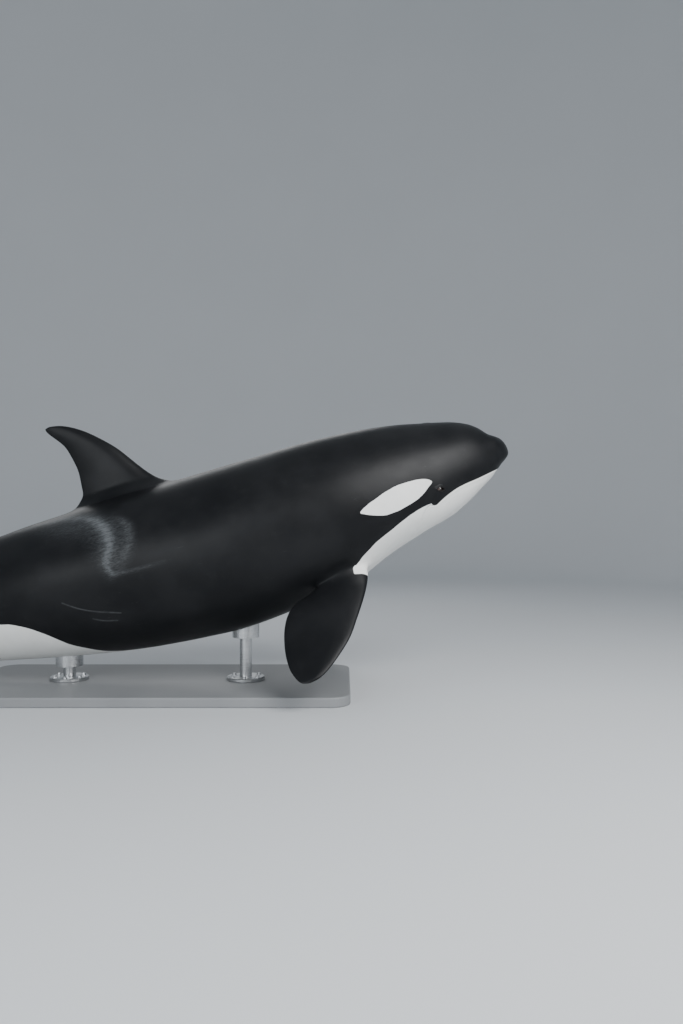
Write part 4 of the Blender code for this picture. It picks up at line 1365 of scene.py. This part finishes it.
def skin_material():
    """Satin skin: black with crisp white areas, a smoky grey saddle, a few faint scratches, and painted shade
    in creases and eye pits.
    """
    made = Shader("orca_skin")
    spot = made.attribute("body_place", "Vector")
    lengthways = made.stretch(spot, (1.0, 9.0, 9.0))
    slow = made.noise(spot, 3.0, 4.0, 0.55)
    cloudy = made.noise(spot, 14.0, 5.0, 0.6)
    speckle = made.noise(spot, 170.0, 3.0, 0.6)
    # Crease and lid strengths give painted shade in creases and in the eye pits
    crease, lid = made.attribute("crease"), made.attribute("lid")

    wobble = made.spread(made.noise(spot, 16.0, 3.0), 0.0022)
    brush = made.spread(made.noise(spot, 90.0), 0.0007)
    edge = made.plus(made.attribute("white"), made.plus(wobble, brush))
    white = made.rise(edge, -0.0014, 0.0014)

    wisps = made.noise(lengthways, 9.0, 5.0, 0.62)
    flecks = made.noise(lengthways, 30.0, 3.0, 0.6)
    saddle = made.times(made.attribute("saddle"), made.rise(wisps, 0.30, 0.66, 0.58, 1.14))
    torn = made.rise(flecks, 0.42, 0.60, -0.15, 0.15)
    mid = made.times(saddle, made.math("SUBTRACT", 1.0, saddle, clamp=True))
    saddle = made.plus(saddle, made.times(made.times(mid, 4.0), torn), clamp=True)

    threads = made.noise(made.stretch(spot, (2.0, 60.0, 60.0)), 3.2, 2.0, 0.5, 0.35)
    patches = made.rise(made.noise(spot, 2.6, 1.0), 0.52, 0.68)
    scratches = made.times(made.times(made.rise(threads, 0.70, 0.76), patches), 0.22)
    scar = made.rise(made.attribute("scar"), SCAR_HALF_WIDTH, 0.0, 0.0, 0.42)
    scar = made.times(scar, made.rise(wisps, 0.32, 0.60, 0.35, 1.0))
    scars = made.math("MAXIMUM", scratches, scar)

    black = made.layers(
        BLACKS[0],
        (slow, 0.35, 0.70, 1.0, BLACKS[1]),
        (cloudy, 0.55, 0.85, 0.5, BLACKS[2]),
        (speckle, 0.62, 0.78, 0.30, BLACKS[3]),
    )
    black = made.mix(scars, made.mix(saddle, black, SADDLE_GREY), SCAR_GREY)
    pale = made.layers(
        WHITES[0],
        (slow, 0.30, 0.70, 1.0, WHITES[1]),
        (cloudy, 0.50, 0.85, 0.40, WHITES[2]),
        (speckle, 0.64, 0.80, 0.28, WHITES[3]),
    )
    colour = made.mix(white, black, made.mix(scratches, pale, SCRATCH_GREY))
    # Painted shade: darkened creases and eye pits
    colour = made.mix(made.times(crease, 0.92), colour, CREASE_PAINTED_SHADE)
    colour = made.mix(made.times(lid, 0.92), colour, EYE_PIT_PAINTED_SHADE)

    gloss = made.plus(made.times(cloudy, 0.14), 0.33)
    for area, rougher in ((white, 0.06), (lid, 0.14), (scars, 0.20)):
        gloss = made.plus(gloss, made.times(area, rougher))

    dents = made.bump(made.noise(spot, 9.0, 3.0), 0.0020, 0.45)
    grain = made.bump(speckle, 0.0003, 0.35, dents)
    cuts = made.bump(made.times(scars, -1.0), 0.0005, 0.5, grain)
    made.feed(made.surface, {"Specular IOR Level": SKIN_SHINE})
    return made.finish(base_color=colour, roughness=gloss, normal=cuts)


def make_skin():
    """The whole animal's skin in one piece."""
    body = make_body()
    fins = [make_dorsal_fin(), make_flipper(1), make_flipper(-1), make_flukes()]
    skin = fair_seams(unite(body, fins))
    mark_skin(skin)
    skin.data.materials.append(skin_material())
    skin.data.shade_smooth()
    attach(skin, "root")
    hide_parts(*FLESH)
    return skin


def eye_material():
    """Wet dark eye: black pupil, brown fibred iris, dark rim and a dull reddish white."""
    made = Shader("orca_eye")
    angle = made.attribute("axis_angle")
    around = made.attribute("around", "Vector")
    fibres = made.noise(around, 3.0, 4.0, 0.7)
    clouds = made.noise(around, 1.2, 3.0, 0.6)
    white = made.layers(EYE_WHITES[0], (clouds, 0.35, 0.7, 1.0, EYE_WHITES[1]))
    colour = made.layers(
        IRIS_BROWNS[0],
        (fibres, 0.35, 0.7, 1.0, IRIS_BROWNS[1]),
        (angle, IRIS_ANGLE * 0.82, IRIS_ANGLE, 1.0, IRIS_RIM),
        (made.attribute("pupil_angle"), PUPIL_ANGLE + 0.015, PUPIL_ANGLE - 0.015, 1.0, PUPIL_BLACK),
        (angle, IRIS_ANGLE, IRIS_ANGLE + 0.05, 1.0, white),
    )
    gloss = made.rise(fibres, 0.0, 1.0, 0.05, 0.12)
    return made.finish(base_color=colour, roughness=gloss, coat_weight=1.0, coat_roughness=0.02)


def make_eye(side):
    """One eyeball with a raised cornea, where the solid's eye is."""
    word = "left" if side > 0 else "right"
    low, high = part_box(f"eye_{word}")
    centre = (low + high) / 2
    world = place(*np.stack([EYE_SPOT + EYE_OUT * 0.01, EYE_SPOT]).T)
    axis = Vector(world[0] - world[1])
    axis.y *= side
    axis = (axis.normalized() + Vector(GAZE_TURN)).normalized()
    work = bmesh.new()
    bmesh.ops.create_uvsphere(work, u_segments=96, v_segments=64, radius=EYE_RADIUS)
    turn = Vector((0, 0, 1)).rotation_difference(axis).to_matrix()
    bmesh.ops.transform(work, matrix=turn.to_4x4(), verts=work.verts)
    mesh = end_work(work, f"eyeball_{word}")
    points = read_points(mesh)
    unit = points / np.linalg.norm(points, axis=1, keepdims=True)
    angle = np.arccos(np.clip(unit @ np.array(axis), -1.0, 1.0))
    upward = Vector((0, 0, 1)) - axis * axis.z
    upward.normalize()
    rise = unit @ np.array(upward)
    level = unit @ np.array(axis.cross(upward))
    oval = np.hypot(level / PUPIL_OVAL, rise)
    store(mesh, "axis_angle", angle)
    store(mesh, "pupil_angle", np.where(angle < 1.2, np.arcsin(held(oval)), 1.5))
    spokes = np.arctan2(rise, level)
    fibre = np.stack([np.cos(spokes) * 4.0, np.sin(spokes) * 4.0, angle * 2.0], axis=-1)
    store(mesh, "around", fibre)
    bulge = held(1.0 - (angle / (IRIS_ANGLE * CORNEA_WIDTH)) ** 2) ** 2
    write_points(mesh, unit * (EYE_RADIUS + CORNEA_HEIGHT * bulge)[:, None] + np.array(centre))
    mesh.shade_smooth()
    eye = new_object(f"eyeball_{word}", mesh)
    mesh.materials.append(EYE_LOOK)
    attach(eye, "root")
    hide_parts(f"eye_{word}")
    return eye


def base_material():
    """Matt grey powder paint with a fine grain."""
    made = Shader("stand_paint")
    spot = made.add("ShaderNodeTexCoord", "Object", {})
    slow = made.noise(spot, 2.0, 3.0)
    grain = made.noise(spot, 420.0, 2.0, 0.6)
    colour = made.layers(
        PAINT_GREYS[0], (slow, 0.3, 0.7, 1.0, PAINT_GREYS[1]), (grain, 0.55, 0.75, 0.35, PAINT_GREYS[2])
    )
    gloss = made.rise(slow, 0.2, 0.8, 0.46, 0.58)
    return made.finish(base_color=colour, roughness=gloss, normal=made.bump(grain, 0.0006, 0.35))


def steel_material():
    """Brushed stainless steel, with its brush lines round the bars."""
    made = Shader("stand_steel")
    spot = made.add("ShaderNodeTexCoord", "Object", {})
    lines = made.noise(made.stretch(spot, (3.0, 3.0, 420.0)), 3.0, 3.0, 0.6)
    slow = made.noise(spot, 6.0)
    colour = made.layers(STEEL_GREYS[0], (lines, 0.3, 0.7, 1.0, STEEL_GREYS[1]))
    gloss = made.plus(made.rise(lines, 0.25, 0.75, 0.22, 0.38), made.rise(slow, 0.4, 0.8, 0.0, 0.06))
    brushed = made.bump(lines, 0.0002, 0.25)
    return made.finish(base_color=colour, roughness=gloss, normal=brushed, metallic=1.0)


def make_bolts(foot, steel):
    """Hex bolts on washers, evenly round one foot of the stand."""
    low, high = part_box(foot)
    centre = (low + high) / 2
    work = bmesh.new()
    for i in range(BOLT_COUNT):
        turn = 2 * math.pi * (i + 0.5) / BOLT_COUNT
        x, y = centre[0] + BOLT_RING * math.cos(turn), centre[1] + BOLT_RING * math.sin(turn)
        for sides, radius, start, height in (
            (32, WASHER_RADIUS, 0.0, WASHER_HEIGHT),
            (6, BOLT_RADIUS, WASHER_HEIGHT, BOLT_HEIGHT),
        ):
            spot = Matrix.Translation((x, y, high[2] + start + height / 2)) @ Matrix.Rotation(turn, 4, "Z")
            bmesh.ops.create_cone(
                work, cap_ends=True, segments=sides, radius1=radius, radius2=radius, depth=height, matrix=spot
            )
    bmesh.ops.bevel(work, geom=work.edges[:], offset=BOLT_BEVEL, segments=2, affect="EDGES")
    mesh = end_work(work, f"{foot}_bolts")
    mesh.shade_smooth()
    mesh.set_sharp_from_angle(angle=BOLT_SHARP)
    mesh.materials.append(steel)
    bolts = new_object(f"{foot}_bolts", mesh)
    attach(bolts, "root")


def finish_stand(frame):
    """Give the carried-over stand nodes their finishes, and bolt their feet down."""
    paint, steel = base_material(), steel_material()
    for name, obj in frame["nodes"].items():
        if name.startswith("stand_"):
            obj.data.materials.clear()
            obj.data.materials.append(paint if name == "stand_base" else steel)
    for word in ("front", "rear"):
        make_bolts(f"stand_foot_{word}", steel)


def stage_material():
    """Plain pale floor and backdrop."""
    made = Shader("stage_pale")
    spot = made.add("ShaderNodeTexCoord", "Object", {})
    colour = made.mix(made.noise(spot, 0.6), *STAGE_GREYS)
    return made.finish(base_color=colour, roughness=0.7)


def make_stage():
    """A round pale floor whose rim curves up into a backdrop well behind every camera."""
    flat, rise, height = 9.5, 3.5, 16.0
    turns = np.linspace(0, math.pi / 2, 16)
    profile = [(0.0, 0.0), (4.0, 0.0), (flat, 0.0)]
    profile += [(flat + rise * math.sin(t), rise * (1 - math.cos(t))) for t in turns[1:]]
    profile.append((flat + rise, height))
    work = bmesh.new()
    verts = [work.verts.new((radius, 0.0, level)) for radius, level in profile]
    edges = [work.edges.new(pair) for pair in zip(verts, verts[1:])]
    bmesh.ops.spin(
        work, geom=verts + edges, cent=(0, 0, 0), axis=(0, 0, 1), angle=2 * math.pi, steps=96
    )
    bmesh.ops.remove_doubles(work, verts=work.verts, dist=1e-4)
    bmesh.ops.recalc_face_normals(work, faces=work.faces)
    mesh = end_work(work, "stage_floor")
    mesh.shade_smooth()
    floor = new_object("stage_floor", mesh)
    mesh.materials.append(stage_material())


def make_lights():
    """A soft room, and soft lights aimed at the body that the camera itself doesn't see."""
    world = bpy.data.worlds.new("soft_room")
    bpy.context.scene.world = world
    world.use_nodes = True
    room = world.node_tree.nodes["Background"].inputs
    room["Color"].default_value = ROOM_COLOUR
    room["Strength"].default_value = ROOM_STRENGTH
    for name, (spot, size, power, colour) in LIGHTS.items():
        data = bpy.data.lights.new(name, "AREA")
        data.shape = "RECTANGLE"
        data.size, data.size_y = size
        data.energy = power
        data.color = colour
        light = new_object(name, data)
        light.location = spot
        light.rotation_euler = (Vector(LIGHTS_AIM) - Vector(spot)).to_track_quat("-Z", "Y").to_euler()
        light.visible_camera = False


def make_camera():
    """Level camera at the photo's place, looking at the animal's right side."""
    data = bpy.data.cameras.new("photo_camera")
    data.lens = VIEW_LENS
    data.sensor_width = 36.0
    camera = new_object("photo_camera", data)
    target = Vector(place(VIEW_BACK, 0.0, VIEW_LEVEL))
    camera.location = target + Vector((0.0, -VIEW_DISTANCE, 0.0))
    camera.rotation_euler = (math.pi / 2, 0.0, 0.0)
    bpy.context.scene.camera = camera


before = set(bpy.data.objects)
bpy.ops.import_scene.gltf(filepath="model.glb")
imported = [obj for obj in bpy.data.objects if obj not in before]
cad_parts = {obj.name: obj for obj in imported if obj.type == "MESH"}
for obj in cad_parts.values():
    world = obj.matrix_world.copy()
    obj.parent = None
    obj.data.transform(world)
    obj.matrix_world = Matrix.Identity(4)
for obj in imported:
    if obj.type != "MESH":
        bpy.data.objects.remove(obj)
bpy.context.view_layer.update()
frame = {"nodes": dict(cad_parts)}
make_camera()
make_lights()
make_stage()
make_skin()
EYE_LOOK = eye_material()
for eye_side in (-1, 1):
    make_eye(eye_side)
finish_stand(frame)
